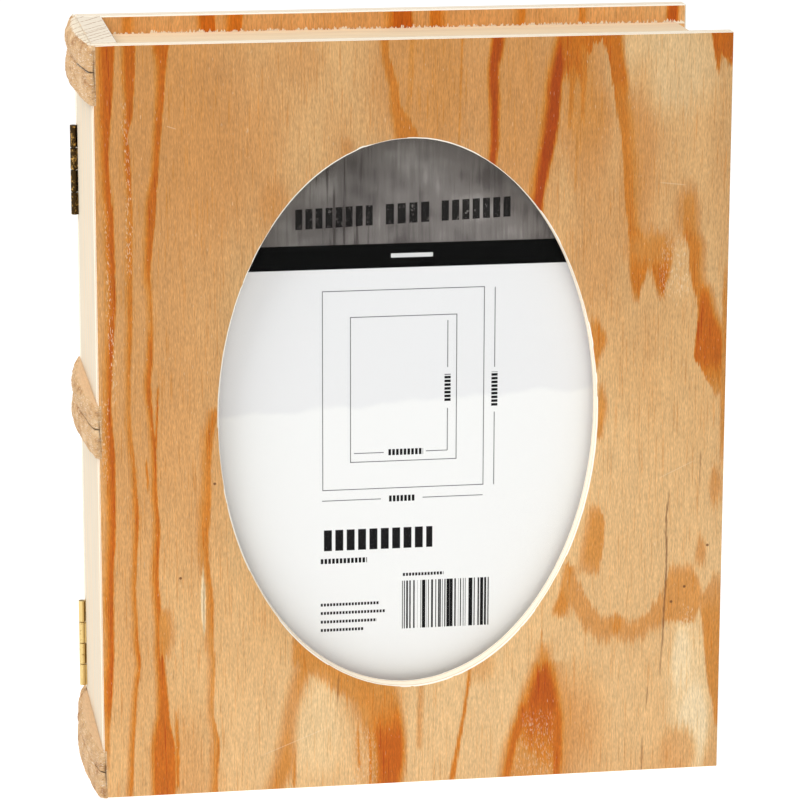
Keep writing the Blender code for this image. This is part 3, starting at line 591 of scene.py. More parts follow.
def veneer_wear(nodes, point, space, colour):
    """Torn fibres, cracks, specks and scratches over the veneer's colour."""
    tears = nodes.noise(point, (0.22, 1, 1.2), 21.0, 1.0)
    torn = nodes.span(tears, 0.58, 0.68)
    pale = nodes.span(nodes.noise(point, (0.34, 1, 2.2), 27.0, 1.0), 0.7, 0.78, 0.0, 0.5)
    for item in TORN:
        pale = nodes.math("MAXIMUM", pale, nodes.math("MULTIPLY", item.mask(nodes, space), torn))
    for start, end in SCRATCHES:
        pale = nodes.math("MAXIMUM", pale, nodes.segment(space.straight, start, end, SCRATCH_RADIUS, 0.45))
    colour = nodes.mix(nodes.math("MULTIPLY", pale, 0.6), colour, FIBRE_LIGHT)
    for item in CRACKS:
        shade = nodes.math("MULTIPLY", item.mask(nodes, space), item.pigment)
        colour = nodes.mix(shade, colour, CRACK_DARK)
    for x, z in SPECKS:
        reach = nodes.vector("DISTANCE", space.straight, (x, 0, z))
        dot = nodes.span(reach, SPECK_RADIUS * 0.6, SPECK_RADIUS * 1.3, 0.9, 0.0)
        colour = nodes.mix(dot, colour, CRACK_DARK)
    return colour


PLY_FACE = srgb(252, 246, 232)
PLY_GLUE = srgb(222, 190, 152)
PLY_CORE = srgb(250, 238, 216)


def ply_edge(nodes, depth, wobble):
    """Layers of three-ply seen on its edge; depth runs from 0 at one face to 1."""
    line = nodes.math("MULTIPLY_ADD", nodes.math("SUBTRACT", wobble, 0.5), 0.03, depth)
    return nodes.ramp(line, [(0.0, PLY_FACE), (0.1, PLY_GLUE), (0.18, PLY_CORE),
                             (0.82, PLY_GLUE), (0.9, PLY_FACE)], "CONSTANT")


INNER_PAINTED_LIGHT = 1.32               # painted light: the back cover's inner face is made brighter than its outside, against the shade it sits in
LINT_FOOT = 211.7               # torn fibres stand on the head rail against the back cover


def inner_face(nodes, point, colour):
    """The back cover's inner face: painted brighter against the shade it sits in, with torn fibres at the
    head rail.
    """
    inward = nodes.span(nodes.normal()[1], -0.5, 0.5, 1.0, 0.0)
    # Painted light: faces turned towards the inside of the book are made brighter
    colour = nodes.shade(colour, nodes.math("MULTIPLY_ADD", inward, INNER_PAINTED_LIGHT - 1, 1.0))
    ragged = nodes.noise(point, (0.9, 4, 4), 51.0, 3.0, 0.7)
    height = nodes.math("MULTIPLY_ADD", ragged, 5.0, LINT_FOOT - 2.3)
    above = nodes.math("SUBTRACT", nodes.separate(point)[2], height)
    lint = nodes.span(above, -0.15, 0.1, 1.0, 0.0)
    foot = nodes.span(nodes.separate(point)[2], LINT_FOOT - 0.6, LINT_FOOT - 0.4)
    lint = nodes.math("MULTIPLY", nodes.math("MULTIPLY", lint, foot), inward)
    return nodes.mix(lint, colour, srgb(253, 238, 212))


def veneer_ply_material(name, figure, face_y, detailed=False):
    """Pine-faced plywood: a figured face and layered edges."""
    nodes = Nodes(name, 0.52)
    point = nodes.book_point()
    y = nodes.separate(point)[1]
    colour, light = veneer_face(nodes, point, figure, detailed)
    depth = nodes.math("DIVIDE", nodes.math("SUBTRACT", y, face_y), COVER_T)
    grain = nodes.noise(point, (3, 0.25, 3), 4.0, 2.0)
    edge = nodes.shade(ply_edge(nodes, depth, grain),
                       nodes.math("MULTIPLY_ADD", grain, 0.12, 0.94))
    if not detailed:
        colour = inner_face(nodes, point, colour)
    facing = nodes.facing(nodes.normal()[1], 0.86, 0.93)
    nodes.shader.inputs["Specular IOR Level"].default_value = 0.2
    return nodes.finish(nodes.mix(facing, edge, colour), light, 0.25, 0.06)


# Other materials -------------------------------------------------------------------

# Growth rings on the spine's head: distances along the direction they step in
RING_STEP = (0.852, -0.525)
RINGS = (-27.6, -23.4, -19.3, -15.2, -12.8, -11.6, -9.0, -6.4, -3.8)
RING_BROWN = srgb(176, 138, 104)
SPINE_HIGHLIGHT_FROM = 7.0                 # a painted highlight, a near-white line along the spine's eased inner edge, starts here


def ring_lines(nodes, point):
    """Thin brown growth rings crossing the spine's end grain and the top band."""
    x, y, _ = nodes.separate(point)
    bend = nodes.math("SUBTRACT", nodes.noise(point, (3, 5, 3), 5.0, 2.0), 0.5)
    across = nodes.math("MULTIPLY_ADD", x, RING_STEP[0], nodes.math("MULTIPLY", y, RING_STEP[1]))
    across = nodes.math("MULTIPLY_ADD", bend, 0.8, across)
    lines = 0.0
    for ring in RINGS:
        gap = nodes.math("ABSOLUTE", nodes.math("SUBTRACT", across, ring))
        lines = nodes.math("MAXIMUM", lines, nodes.span(gap, 0.08, 0.4, 1.0, 0.0))
    fade = nodes.noise(point, (1.5, 1.5, 4), 15.0, 2.0)
    return nodes.math("MULTIPLY", lines, nodes.span(fade, 0.3, 0.6, 0.25, 0.95))


def pale_wood_material(name, grain, tone, end_axis, ringed=False):
    """Bare pine strip: grain sizes along x, y and z, and the axis its end grain faces."""
    nodes = Nodes(name, 0.6)
    point = nodes.book_point()
    lines = nodes.noise(point, grain, 2.0, 3.0, 0.55)
    blush = nodes.noise(point, tuple(g * 9 for g in grain), 8.0, 1.0)
    light = nodes.math("MULTIPLY_ADD", lines, 0.55, 0.73)
    colour = nodes.mix(nodes.span(blush, 0.4, 0.8), tone, srgb(232, 208, 174))
    colour = nodes.shade(colour, light)
    x, y, z = nodes.separate(point)
    tilt = nodes.math("MULTIPLY_ADD", x, -0.42, y)
    bent = nodes.math("MULTIPLY_ADD", nodes.noise(point, (4, 6, 4), 5.0, 1.0), 2.2, tilt)
    wave = nodes.math("SINE", nodes.math("MULTIPLY", bent, 1.75))
    ring = nodes.span(wave, 0.55, 1.0, 0.0, 1.0)
    pores = nodes.noise(point, (0.35, 0.35, 0.35), 3.0, 2.0)
    end = nodes.mix(nodes.math("MULTIPLY", ring, 0.4), srgb(244, 232, 212), srgb(214, 190, 160))
    if ringed:
        end = nodes.mix(ring_lines(nodes, point), end, RING_BROWN)
        # Painted highlight along the spine's eased inner edge
        end = nodes.mix(nodes.span(x, SPINE_HIGHLIGHT_FROM, SPINE_HIGHLIGHT_FROM + 0.2), end, srgb(255, 252, 246))
    end = nodes.shade(end, nodes.math("MULTIPLY_ADD", pores, 0.3, 0.86))
    colour = nodes.mix(nodes.facing(nodes.normal()[end_axis]), colour, end)
    return nodes.finish(colour, lines, 0.3, 0.08)


def band_wood_material():
    """Rough carved wood: brown patches, pale scratches, painted shade in cracks, pale sawn tops."""
    nodes = Nodes("band_wood_carved", 0.72)
    point = nodes.book_point()
    patches = nodes.noise(point, (4, 7, 3), 1.0, 3.0, 0.65)
    fibre = nodes.noise(point, (0.4, 3.2, 0.3), 6.0, 3.0, 0.7)
    scratch = nodes.noise(point, (0.6, 2.6, 0.22), 12.0, 2.0)
    specks = nodes.noise(point, (0.5, 0.9, 0.5), 17.0, 2.0)
    colour = nodes.ramp(patches, [(0.3, srgb(168, 122, 78)), (0.5, srgb(204, 164, 118)),
                                  (0.7, srgb(220, 186, 144))])
    colour = nodes.shade(colour, nodes.math("MULTIPLY_ADD", fibre, 0.8, 0.6))
    colour = nodes.mix(nodes.span(scratch, 0.58, 0.68, 0.0, 0.65), colour, srgb(238, 222, 200))
    colour = nodes.mix(nodes.span(specks, 0.64, 0.74, 0.0, 0.75), colour, srgb(112, 72, 44))
    upward = nodes.span(nodes.normal()[2], 0.8, 0.95)
    sawn = nodes.mix(ring_lines(nodes, point), srgb(240, 226, 202), RING_BROWN)
    head = nodes.span(nodes.separate(point)[2], 0.9 * BOOK_H, 0.95 * BOOK_H)
    sawn = nodes.mix(head, srgb(214, 178, 138), sawn)
    sawn = nodes.shade(sawn, nodes.math("MULTIPLY_ADD", fibre, 0.5, 0.75))
    colour = nodes.mix(upward, colour, sawn)
    # Painted shade: the crack between the beads, marked in the mesh's groove attribute, is darkened to
    # near black
    crack_shade = nodes.add("ShaderNodeAttribute", attribute_name="groove").outputs["Fac"]
    colour = nodes.mix(nodes.math("MULTIPLY", crack_shade, 0.97), colour, srgb(34, 18, 10))
    nodes.shader.inputs["Specular IOR Level"].default_value = 0.2
    return nodes.finish(colour, nodes.math("ADD", fibre, scratch), 0.6, 0.2)


def brass_material(name, clean, tarnish, cover, roughness):
    """Brass with tarnish over the given share of it."""
    nodes = Nodes(name, roughness, 1.0)
    point = nodes.book_point()
    cloud = nodes.noise(point, (0.8, 0.8, 1.1), 2.0, 4.0, 0.7)
    brush = nodes.noise(point, (0.12, 0.12, 3), 9.0, 2.0)
    share = nodes.span(cloud, 0.62 - cover * 0.4, 0.72 - cover * 0.4)
    colour = nodes.mix(share, clean, tarnish)
    colour = nodes.shade(colour, nodes.math("MULTIPLY_ADD", brush, 0.3, 0.85))
    rough = nodes.math("MULTIPLY_ADD", cloud, 0.3, roughness - 0.12)
    return nodes.finish(colour, brush, 0.15, 0.03, rough)


def steel_material():
    nodes = Nodes("steel_plated", 0.4, 1.0)
    point = nodes.book_point()
    cloud = nodes.noise(point, (0.8, 0.8, 0.8), 2.0, 3.0)
    colour = nodes.mix(cloud, srgb(108, 96, 84), srgb(168, 162, 154))
    return nodes.finish(colour, cloud, 0.1, 0.03, nodes.math("MULTIPLY_ADD", cloud, 0.3, 0.25))


def hardboard_material():
    """Smooth brown hardboard, its edges fibrous."""
    nodes = Nodes("hardboard_smooth", 0.62)
    point = nodes.book_point()
    fibre = nodes.noise(point, (0.7, 0.3, 0.7), 2.0, 4.0, 0.6)
    cloud = nodes.noise(point, (25, 5, 25), 4.0, 2.0)
    colour = nodes.ramp(fibre, [(0.3, srgb(108, 72, 44)), (0.7, srgb(158, 112, 72))])
    colour = nodes.shade(colour, nodes.math("MULTIPLY_ADD", cloud, 0.3, 0.85))
    return nodes.finish(colour, fibre, 0.25, 0.06)


GLASS_GLOSS_IOR = 1.09          # weaker gloss than real glass: the photo shows almost none


def glass_material():
    """Clear thin pane: what is behind shows straight through, with a faint gloss."""
    nodes = Nodes("glass_clear", 0.05)
    clear = nodes.add("ShaderNodeBsdfTransparent", {"Color": (0.996, 0.998, 0.997, 1.0)})
    smears = nodes.noise(nodes.book_point(), (14, 4, 20), 3.0, 3.0)
    gloss = nodes.add("ShaderNodeBsdfAnisotropic",
                      {"Color": (0.9, 0.93, 0.92, 1.0),
                       "Roughness": nodes.math("MULTIPLY_ADD", smears, 0.05, 0.02)})
    share = nodes.add("ShaderNodeFresnel", {"IOR": GLASS_GLOSS_IOR}).outputs[0]
    leaving = nodes.add("ShaderNodeNewGeometry").outputs["Backfacing"]
    share = nodes.lerp(leaving, share, 0.0)
    mixed = nodes.add("ShaderNodeMixShader", {0: share})
    nodes.set(mixed.inputs[1], clear.outputs[0])
    nodes.set(mixed.inputs[2], gloss.outputs[0])
    nodes.set(nodes.tree.nodes["Material Output"].inputs["Surface"], mixed.outputs[0])
    nodes.tree.nodes.remove(nodes.shader)
    return nodes.material


# Printed card ----------------------------------------------------------------------

class Print:
    """Marks on the card, each a mask made from boxes in book coordinates."""

    def __init__(self, nodes, point):
        self.nodes = nodes
        self.x, _, self.z = nodes.separate(point)
        self.soft = 0.07

    def band(self, value, low, high):
        rise = self.nodes.span(value, low - self.soft, low + self.soft)
        fall = self.nodes.span(value, high - self.soft, high + self.soft, 1.0, 0.0)
        return self.nodes.math("MULTIPLY", rise, fall)

    def box(self, x0, x1, z0, z1):
        return self.nodes.math("MULTIPLY", self.band(self.x, x0, x1), self.band(self.z, z0, z1))

    def outline(self, x0, x1, z0, z1):
        inner = self.box(x0 + RULE, x1 - RULE, z0 + RULE, z1 - RULE)
        return self.nodes.math("SUBTRACT", self.box(x0, x1, z0, z1), inner)

    def upright(self, x, z0, z1):
        return self.box(x - RULE / 2, x + RULE / 2, z0, z1)

    def level(self, z, x0, x1):
        return self.box(x0, x1, z - RULE / 2, z + RULE / 2)

    def teeth(self, value, start, end, pitch):
        """Bars with gaps between them from start to end."""
        phase = self.nodes.math("PINGPONG", self.nodes.math("SUBTRACT", value, start), pitch / 2)
        gap = 0.15 * pitch
        solid = self.nodes.span(phase, gap - self.soft, gap + self.soft)
        return self.nodes.math("MULTIPLY", solid, self.band(value, start, end))

    def row(self, x0, x1, z0, z1, pitch):
        return self.nodes.math("MULTIPLY", self.teeth(self.x, x0, x1, pitch),
                               self.band(self.z, z0, z1))

    def column(self, x0, x1, z0, z1, pitch):
        return self.nodes.math("MULTIPLY", self.teeth(self.z, z0, z1, pitch),
                               self.band(self.x, x0, x1))

    def union(self, masks):
        total = masks[0]
        for mask in masks[1:]:
            total = self.nodes.math("MAXIMUM", total, mask)
        return total


RULE = 0.24                     # thickness of a drawn line on the card
BLACK_BAND = (151.0, 158.0)     # black band across the card
OUTER_BOX = (64.3, 111.0, 86.5, 144.8)
INNER_BOX = (72.3, 103.1, 94.5, 137.1)
PRINT_BLACK = srgb(26, 25, 26)
PRINT_GREY = srgb(92, 92, 94)


def card_lines(marks):
    """The drawing of the frame's outline and window, with its dimension lines."""
    right, below, inside_x, inside_z = 114.0, 83.5, 100.4, 97.2
    return marks.union([
        marks.outline(*OUTER_BOX), marks.outline(*INNER_BOX),
        marks.upright(right, 86.5, 108.0), marks.upright(right, 121.2, 144.5),
        marks.level(below, 64.2, 81.2), marks.level(below, 93.3, 110.8),
        marks.upright(inside_x, inside_z, 109.6), marks.upright(inside_x, 121.6, 135.3),
        marks.level(inside_z, 73.4, 82.0), marks.level(inside_z, 94.2, inside_x),
    ])


def card_dashes(marks):
    """Plain blocks in place of wording, and a block of meaningless upright bars."""
    rows = [marks.row(83.4, 91.0, 82.6, 84.4, 1.1), marks.row(83.2, 93.4, 96.3, 98.1, 1.1),
            marks.row(63.6, 77.2, 64.8, 66.3, 1.1), marks.row(87.5, 99.5, 60.2, 61.1, 0.9)]
    rows += [marks.row(63.6, end, z, z + 0.85, 0.9)
             for end, z in ((80.8, 52.1), (82.6, 49.6), (80.0, 47.0), (76.2, 44.5))]
    rows += [marks.column(99.5, 101.3, 111.5, 119.6, 1.1),
             marks.column(113.1, 114.9, 109.6, 119.8, 1.1)]
    bars = marks.nodes.noise(marks.nodes.combine(marks.x, 0.0, 0.0), (0.55, 1, 1), 31.0, 1.0)
    block = marks.nodes.math("MULTIPLY", marks.box(87.4, 113.0, 44.4, 58.8),
                             marks.nodes.span(bars, 0.47, 0.5))
    return marks.union(rows + [marks.row(64.2, 96.2, 68.6, 74.8, 3.3), block])


def weathered_boards(nodes, marks, point):
    """Grey board print with upright streaks and worn blocks across it, darker towards its head and its
    left.
    """
    x, z = marks.x, marks.z
    boards = nodes.noise(point, (1.2, 1, 16), 4.0, 4.0, 0.6)
    clouds = nodes.noise(point, (16, 1, 12), 6.0, 2.0)
    stain = nodes.math("MULTIPLY_ADD", clouds, 0.9, nodes.math("MULTIPLY", boards, 0.35))
    wood = nodes.ramp(stain, [(0.42, srgb(92, 87, 85)), (0.62, srgb(122, 117, 114)),
                              (0.82, srgb(150, 146, 142))])
    # Darker towards the head and towards the left
    head = nodes.span(z, 170, 188, 1.0, 0.72)
    left = nodes.span(x, 50, 96, 0.72, 1.05)
    wood = nodes.shade(wood, nodes.math("MULTIPLY", head, left))
    streaks = nodes.noise(point, (0.9, 1, 30), 8.0, 2.0)
    dark = nodes.math("MULTIPLY", nodes.span(streaks, 0.56, 0.66, 0.0, 0.7),
                      nodes.span(nodes.math("ABSOLUTE", nodes.math("SUBTRACT", x, 69)),
                                 4.0, 14.0, 1.0, 0.25))
    wood = nodes.mix(dark, wood, srgb(62, 56, 55))
    worn = nodes.noise(point, (0.9, 1.0, 1.1), 14.0, 3.0, 0.7)
    tilted = nodes.math("MULTIPLY_ADD", x, -0.035, z)
    blocks = [nodes.math("MULTIPLY", marks.band(tilted, 160.6, 166.4), marks.teeth(x, *group))
              for group in ((56.4, 79.2, 2.85), (82.0, 95.4, 3.35), (98.0, 118.6, 2.95))]
    bar = nodes.math("MULTIPLY", marks.union(blocks), nodes.span(worn, 0.34, 0.4, 0.25, 0.95))
    return nodes.mix(bar, wood, srgb(20, 18, 18))


def card_material():
    """Printed insert: weathered grey boards above a black band, pale grey below."""
    nodes = Nodes("insert_card_print", 0.5)
    nodes.shader.inputs["Specular IOR Level"].default_value = 0.05
    point = nodes.book_point()
    marks = Print(nodes, point)
    low, high = BLACK_BAND
    # The paper is a little lighter below a slanted, wavering line
    paper_step = nodes.math("MULTIPLY_ADD", marks.x, -0.05, marks.z)
    cloud = nodes.noise(point, (12, 1, 10), 19.0, 3.0)
    paper_step = nodes.math("MULTIPLY_ADD", nodes.math("SUBTRACT", cloud, 0.5), 6.0, paper_step)
    paper = nodes.mix(nodes.span(paper_step, 106.2, 108.6), srgb(247, 247, 246), srgb(238, 238, 239))
    fibre = nodes.noise(point, (0.5, 0.5, 0.5), 2.0, 2.0)
    paper = nodes.shade(paper, nodes.math("MULTIPLY_ADD", fibre, 0.04, 0.98))
    paper = nodes.mix(card_lines(marks), paper, PRINT_GREY)
    paper = nodes.mix(card_dashes(marks), paper, PRINT_BLACK)
    specks = nodes.noise(point, (0.7, 1, 0.6), 25.0, 1.0)
    ink = nodes.mix(nodes.span(specks, 0.76, 0.82), srgb(3, 3, 3), srgb(150, 150, 150))
    ink = nodes.mix(marks.box(84.0, 96.0, 153.9, 155.1), ink, srgb(225, 225, 225))
    colour = nodes.mix(nodes.span(marks.z, low - 0.1, low + 0.1), paper, ink)
    boards = weathered_boards(nodes, marks, point)
    colour = nodes.mix(nodes.span(marks.z, high - 0.1, high + 0.1), colour, boards)
    return nodes.finish(colour, fibre, 0.08, 0.02)


# Mesh pieces -----------------------------------------------------------------------

def new_piece(name, bm, material, slot, body, *stands_for):
    """A finished mesh piece in scene coordinates that replaces CAD nodes."""
    bmesh.ops.recalc_face_normals(bm, faces=bm.faces)
    mesh = bpy.data.meshes.new(name)
    bm.to_mesh(mesh)
    bm.free()
    obj = bpy.data.objects.new(name, mesh)
    bpy.context.scene.collection.objects.link(obj)
    mesh.materials.append(material)
    mesh.shade_smooth()
    mesh.set_sharp_from_angle(angle=math.radians(34))
    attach(obj, body)
    if stands_for:
        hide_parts(*stands_for)
    return obj


def bridge(bm, first, second):
    """Quads between two closed rings of as many vertices."""
    count = len(first)
    for i in range(count):
        j = (i + 1) % count
        bm.faces.new((first[i], first[j], second[j], second[i]))


WINDOW_STEPS = 360              # points round the window and round the cover's outline
FACE_RINGS = 5                  # rings of the face between the rim and the outline
# How the saw wandered: amplitude in millimetres and ripples round the window
TREMOR, TREMOR_RIPPLES = 0.07, 26
WANDER, WANDER_RIPPLES = 0.12, 3
BORE_SHARE = 0.4                # the bore wanders less than its eased rim
CHIP_ANGLE = math.radians(104.5)
CHIP_DEPTH = 0.45
CHIP_SPREAD = 0.02              # radians


def ripple(angle, ripples, seed):
    return noise.noise(Vector((math.cos(angle) * ripples, math.sin(angle) * ripples, seed)))


def window_point(angle, grow):
    """Point on the window's edge, a little uneven as it leaves the saw."""
    tremor = TREMOR * ripple(angle, TREMOR_RIPPLES, 3.0)
    wander = WANDER * ripple(angle, WANDER_RIPPLES, 9.0)
    chip = CHIP_DEPTH * math.exp(-((angle - CHIP_ANGLE) / CHIP_SPREAD) ** 2)
    reach = grow + (tremor + wander + chip) * (1.0 if grow else BORE_SHARE)
    return (OVAL_X + (OVAL_RX + reach) * math.cos(angle),
            OVAL_Z + (OVAL_RZ + reach) * math.sin(angle))


def outline_angles():
    """Even angles round the window's middle, moved to meet the cover's corners."""
    angles = [2 * math.pi * i / WINDOW_STEPS for i in range(WINDOW_STEPS)]
    for x in (0, BOOK_W):
        for z in (0, BOOK_H):
            corner = math.atan2(z - OVAL_Z, x - OVAL_X) % (2 * math.pi)
            nearest = min(range(WINDOW_STEPS), key=lambda i: abs(angles[i] - corner))
            angles[nearest] = corner
    return angles


def outline_point(angle, inset_spine, inset):
    """Point on the cover's outline along a ray, and whether it is on the spine side."""
    dx, dz = math.cos(angle), math.sin(angle)
    to_x = ((BOOK_W if dx > 0 else 0) - OVAL_X) / dx if abs(dx) > 1e-9 else math.inf
    to_z = ((BOOK_H if dz > 0 else 0) - OVAL_Z) / dz if abs(dz) > 1e-9 else math.inf
    reach = min(to_x, to_z)
    x, z = OVAL_X + dx * reach, OVAL_Z + dz * reach
    spine_side = x < 1e-6
    x = min(max(x, inset_spine), BOOK_W - inset)
    z = min(max(z, inset), BOOK_H - inset)
    return x, z, spine_side


def front_cover_panel(material):
    """Plywood panel with its oval window, softened edges and sanded spine side."""
    bm = bmesh.new()
    angles = outline_angles()

    def window_ring(grow, y):
        return [bm.verts.new(world(px, y, pz)) for px, pz in
                (window_point(a, grow) for a in angles)]

    def outline_ring(inset_spine, inset, y_spine, y):
        ring = []
        for angle in angles:
            x, z, spine_side = outline_point(angle, inset_spine, inset)
            ring.append(bm.verts.new(world(x, y_spine if spine_side else y, z)))
        return ring

    rings = [window_ring(0.0, COVER_T), window_ring(0.0, OVAL_EASE),
             window_ring(OVAL_EASE * 0.35, OVAL_EASE * 0.35), window_ring(OVAL_EASE, 0.0)]
    rim, edge = rings[-1], outline_ring(EASE_SPINE, EASE, 0.0, 0.0)
    for step in range(1, FACE_RINGS + 1):
        share = step / (FACE_RINGS + 1)
        rings.append([bm.verts.new(a.co.lerp(b.co, share)) for a, b in zip(rim, edge)])
    rings.append(edge)
    rings.append(outline_ring(EASE_SPINE * 0.3, EASE * 0.3, EASE_SPINE * 0.3, EASE * 0.3))
    rings.append(outline_ring(0.0, 0.0, EASE_SPINE, EASE))
    rings.append(outline_ring(0.0, 0.0, COVER_T - EASE_BACK, COVER_T - EASE_BACK))
    rings.append(outline_ring(EASE_BACK, EASE_BACK, COVER_T, COVER_T))
    for first, second in zip(rings, rings[1:]):
        bridge(bm, first, second)
    bridge(bm, rings[-1], rings[0])
    return new_piece("front_cover_panel", bm, material, "veneer_ply", "case", "front_cover")


# Raised bands: crest height and upper lip along the book's depth, lower lip as a share
BAND_CREST = [(0.0, 1.3), (4.0, 2.1), (9.0, 2.8), (16.0, 3.5), (24.0, 4.15), (33.0, 4.4),
              (42.0, 4.25), (49.0, 3.7), (53.0, 3.15), (55.0, 2.75), (56.85, 1.0)]
TAIL_CREST = [(57.15, 1.0), (58.6, 2.3), (60.6, 1.9), (62.15, 0.9)]
BAND_TOP_LIP = [(0.0, 0.5), (5.0, 1.0), (10.0, 1.6), (18.0, 2.2), (27.0, 2.3), (36.0, 1.7),
                (45.0, 0.9), (54.0, 0.5), (62.15, 0.4)]
BAND_LOWER_LIP = {"top": 0.52, "middle": 0.55, "bottom": 0.85}
GROOVE_AT = 0.555               # height of the groove between the two beads, as a share
GROOVE_THICKNESS = 0.74
BAND_HEIGHT = 15.5              # nominal height of a band, to scale its crack's width
CRACK_DEPTH = 0.8
CRACK_WIDTH = 0.21
CRACK_REACH = {"top": 22.0, "middle": 24.0, "bottom": 9.0}
LUMP_DEPTH = 0.28
GOUGE_DEPTH = 0.22
FIBRE_DEPTH = 0.09
CARVED_AWAY = 0.12              # taken off everywhere
BAND_STEP = 0.35                # spacing of a band's rows along its depth
BAND_MIN_ROWS = 12
BAND_COLUMNS = 120
BAND_MIN_THICK = 0.25
BAND_BACK = 0.05                # air between a band's back and the spine


def smooth_step(value):
    value = min(max(value, 0.0), 1.0)
    return value * value * (3 - 2 * value)


def through_points(points, value):
    """Smoothly rising and falling function through (place, height) points."""
    for (a, low), (b, high) in zip(points, points[1:]):
        if value <= b:
            straight = (value - a) / (b - a)
            share = 0.5 * (straight + smooth_step(straight))
            return low + (high - low) * share
    return points[-1][1]


def bead_thickness(share, crest, lower, upper):
    """Thickness of the double bead over its height, between its two lips."""
    groove = GROOVE_THICKNESS * crest
    if share < GROOVE_AT:
        along, ends = share / GROOVE_AT, (lower, groove)
    else:
        along, ends = (share - GROOVE_AT) / (1 - GROOVE_AT), (groove, upper)
    base = ends[0] + (ends[1] - ends[0]) * along
    round_part = max(0.0, 1 - abs(2 * along - 1) ** 2.4) ** 0.6
    return base + (crest - base) * round_part


def band_relief(y, z, share, seed, crack_reach):
    """Carving marks and torn fibres: how much is missing at a point, and the painted shade of the crack
    there.
    """
    lumps = noise.fractal(Vector((y / 6.5, z / 4.6, seed)), 1.0, 2.0, 3) * LUMP_DEPTH
    gouges = abs(noise.noise(Vector((y / 2.6, z / 1.7, seed + 5)))) * GOUGE_DEPTH
    fibres = noise.noise(Vector((y / 2.6, z / 0.34, seed + 9))) * FIBRE_DEPTH
    wander = GROOVE_AT + 0.018 * noise.noise(Vector((y / 5.0, seed, 2.0)))
    near = abs(share - wander) / CRACK_WIDTH * BAND_HEIGHT
    crack = math.exp(-near ** 2) * smooth_step((crack_reach - y) / 3.0)
    return max(CARVED_AWAY + lumps + gouges + fibres, 0.0) + crack * CRACK_DEPTH, crack


def raised_band(where, part, crest, material, body, seed):
    """Carved double bead lofted along the book's depth, its back flat on the spine."""
    node = "band_" + part + where
    lo, hi = book_box(node)
    rows = max(int((hi.y - lo.y) / BAND_STEP), BAND_MIN_ROWS)
    bm = bmesh.new()
    # Per-vertex painted shade for the crack between the two beads
    crack_shade = bm.verts.layers.float.new("groove")
    rings = []
    for row in range(rows + 1):
        y = lo.y + (hi.y - lo.y) * row / rows
        height = through_points(crest, y)
        lips = height * BAND_LOWER_LIP[where], min(through_points(BAND_TOP_LIP, y), height)
        lift = max(EASE_SPINE - y, 0.0)
        ring = []
        for column in range(BAND_COLUMNS + 1):
            share = column / BAND_COLUMNS
            z = lo.z + (hi.z - lo.z) * share
            missing, shadow = band_relief(y, z, share, seed, CRACK_REACH[where])
            thick = bead_thickness(share, height, *lips) - missing * min(1.0, height / 2.5)
            vert = bm.verts.new(world(lift - max(thick, BAND_MIN_THICK), y, z))
            vert[crack_shade] = shadow
            ring.append(vert)
        ring.append(bm.verts.new(world(lift - BAND_BACK, y, hi.z)))
        ring.append(bm.verts.new(world(lift - BAND_BACK, y, lo.z)))
        rings.append(ring)
    for first, second in zip(rings, rings[1:]):
        bridge(bm, first, second)
    bm.faces.new(rings[0])
    bm.faces.new(list(reversed(rings[-1])))
    return new_piece("band_carved_" + part + where, bm, material, "band_wood", body, node)


def raised_bands(material):
    for number, where in enumerate(BAND_LOWER_LIP):
        raised_band(where, "", BAND_CREST, material, "case", 11.0 * number + 1)
        raised_band(where, "tail_", TAIL_CREST, material, "rear_cover", 11.0 * number + 5)


# Materials of the CAD nodes --------------------------------------------------------

def dress(node, material):
    """Give a carried-over CAD node its material."""
    mesh = frame["nodes"][node].data
    mesh.materials.clear()
    mesh.materials.append(material)


def dress_frame():
    upright = (0.45, 0.45, 22)
    lying = (22, 0.45, 0.45)
    plain = srgb(222, 208, 184)
    dress("spine_board", pale_wood_material("pine_spine", upright, plain, 2, ringed=True))
    dress("fore_edge_rail", pale_wood_material("pine_fore_edge", upright, plain, 2))
    rails = pale_wood_material("pine_rails", lying, srgb(240, 216, 180), 0)
    dress("head_rail", rails)
    dress("tail_rail", rails)
    fillets = {"head": lying, "tail": lying, "left": upright, "right": upright}
    for where, grain in fillets.items():
        axis = 0 if grain is lying else 2
        dress("glazing_fillet_" + where,
              pale_wood_material("pine_fillet_" + where, grain, srgb(222, 192, 148), axis))
    dress("back_cover", veneer_ply_material("veneer_back", BACK_FIGURE, SEAM_Y))
    dress("glass_pane", glass_material())
    dress("insert_card", card_material())
    dress("backing_board", hardboard_material())
    bright = brass_material("brass_bright", srgb(226, 198, 134), srgb(140, 100, 48),
                            cover=0.1, roughness=0.3)
    antique = brass_material("brass_antique", srgb(196, 154, 84), srgb(66, 50, 28),
                             cover=0.62, roughness=0.4)
    steel = steel_material()
    for node in frame["nodes"]:
        if node.startswith(("hinge_", "leaf_screw_")):
            dress(node, antique if "upper" in node else bright)
        elif node.startswith("turn_button_"):
            dress(node, bright)
        elif node.startswith(("button_screw_", "brad_")):
            dress(node, steel)


# Stage -----------------------------------------------------------------------------

FLOOR_SIZE = 12.0               # metres
FLOOR_GLOW = 0.8                # keeps the floor white under and behind the frame
SKY_STRENGTH = 0.42
LIGHT_TARGET = (0.0, 0.0, 0.1)  # metres, as are the lights' places and sizes
KEY_PLACE, KEY_SIZE, KEY_POWER = (-0.75, -0.45, 1.4), (0.9, 0.9), 18.0
FILL_PLACE, FILL_SIZE, FILL_POWER = (1.2, -1.3, 0.6), (1.4, 1.2), 1.0
CAMERA_PLACE = (-84.25, -1036.1, 373.8)
CAMERA_TURN = (76.1194, -0.1362, -9.2671)       # degrees
CAMERA_LENS = 172.21            # millimetres, on a sensor 36 wide


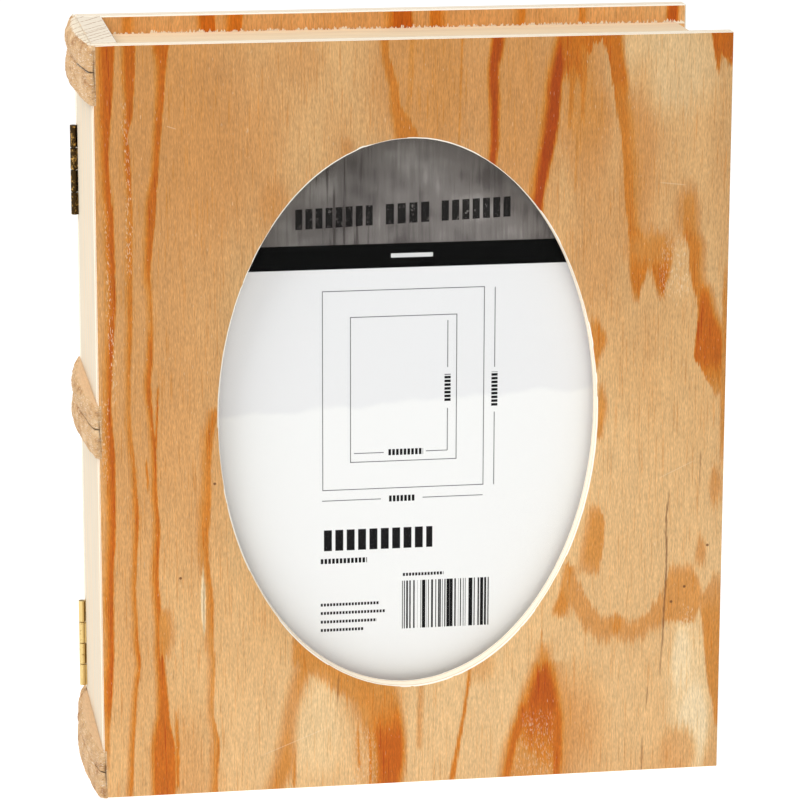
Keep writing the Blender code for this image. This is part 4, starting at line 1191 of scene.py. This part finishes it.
def floor():
    bm = bmesh.new()
    bmesh.ops.create_grid(bm, x_segments=8, y_segments=8, size=FLOOR_SIZE / 2)
    mesh = bpy.data.meshes.new("floor")
    bm.to_mesh(mesh)
    bm.free()
    obj = bpy.data.objects.new("floor", mesh)
    obj.location = (0, FLOOR_SIZE / 6, CAD_BOX[0].z)
    bpy.context.scene.collection.objects.link(obj)
    nodes = Nodes("floor_white", 0.8)
    soft = nodes.noise(nodes.book_point(), (300, 300, 300), 1.0, 1.0)
    nodes.finish(nodes.mix(soft, srgb(188, 188, 188), srgb(196, 196, 196)))
    nodes.shader.inputs["Specular IOR Level"].default_value = 0.1
    nodes.shader.inputs["Emission Color"].default_value = (1, 1, 1, 1)
    nodes.shader.inputs["Emission Strength"].default_value = FLOOR_GLOW
    mesh.materials.append(nodes.material)


def area_light(name, place, size, power):
    data = bpy.data.lights.new(name, "AREA")
    data.shape = "RECTANGLE"
    data.size, data.size_y = size
    data.energy = power
    obj = bpy.data.objects.new(name, data)
    obj.location = place
    aim = Vector(LIGHT_TARGET) - Vector(place)
    obj.rotation_euler = aim.to_track_quat("-Z", "Y").to_euler()
    bpy.context.scene.collection.objects.link(obj)


def lights():
    area_light("key_softbox", KEY_PLACE, KEY_SIZE, KEY_POWER)
    area_light("fill_softbox", FILL_PLACE, FILL_SIZE, FILL_POWER)
    world_data = bpy.data.worlds.new("studio")
    world_data.use_nodes = True
    background = world_data.node_tree.nodes["Background"]
    background.inputs["Color"].default_value = (1, 1, 1, 1)
    background.inputs["Strength"].default_value = SKY_STRENGTH
    bpy.context.scene.world = world_data


def camera():
    data = bpy.data.cameras.new("camera")
    data.sensor_width = 36.0
    data.lens = CAMERA_LENS
    data.clip_start = 0.05
    data.clip_end = 30.0
    obj = bpy.data.objects.new("camera", data)
    obj.location = world(*CAMERA_PLACE)
    obj.rotation_euler = [math.radians(angle) for angle in CAMERA_TURN]
    bpy.context.scene.collection.objects.link(obj)
    bpy.context.scene.camera = obj


front_cover_panel(veneer_ply_material("veneer_front", FIGURE, 0.0, detailed=True))
raised_bands(band_wood_material())
dress_frame()
floor()
lights()
camera()
bpy.context.scene.view_settings.view_transform = "Standard"
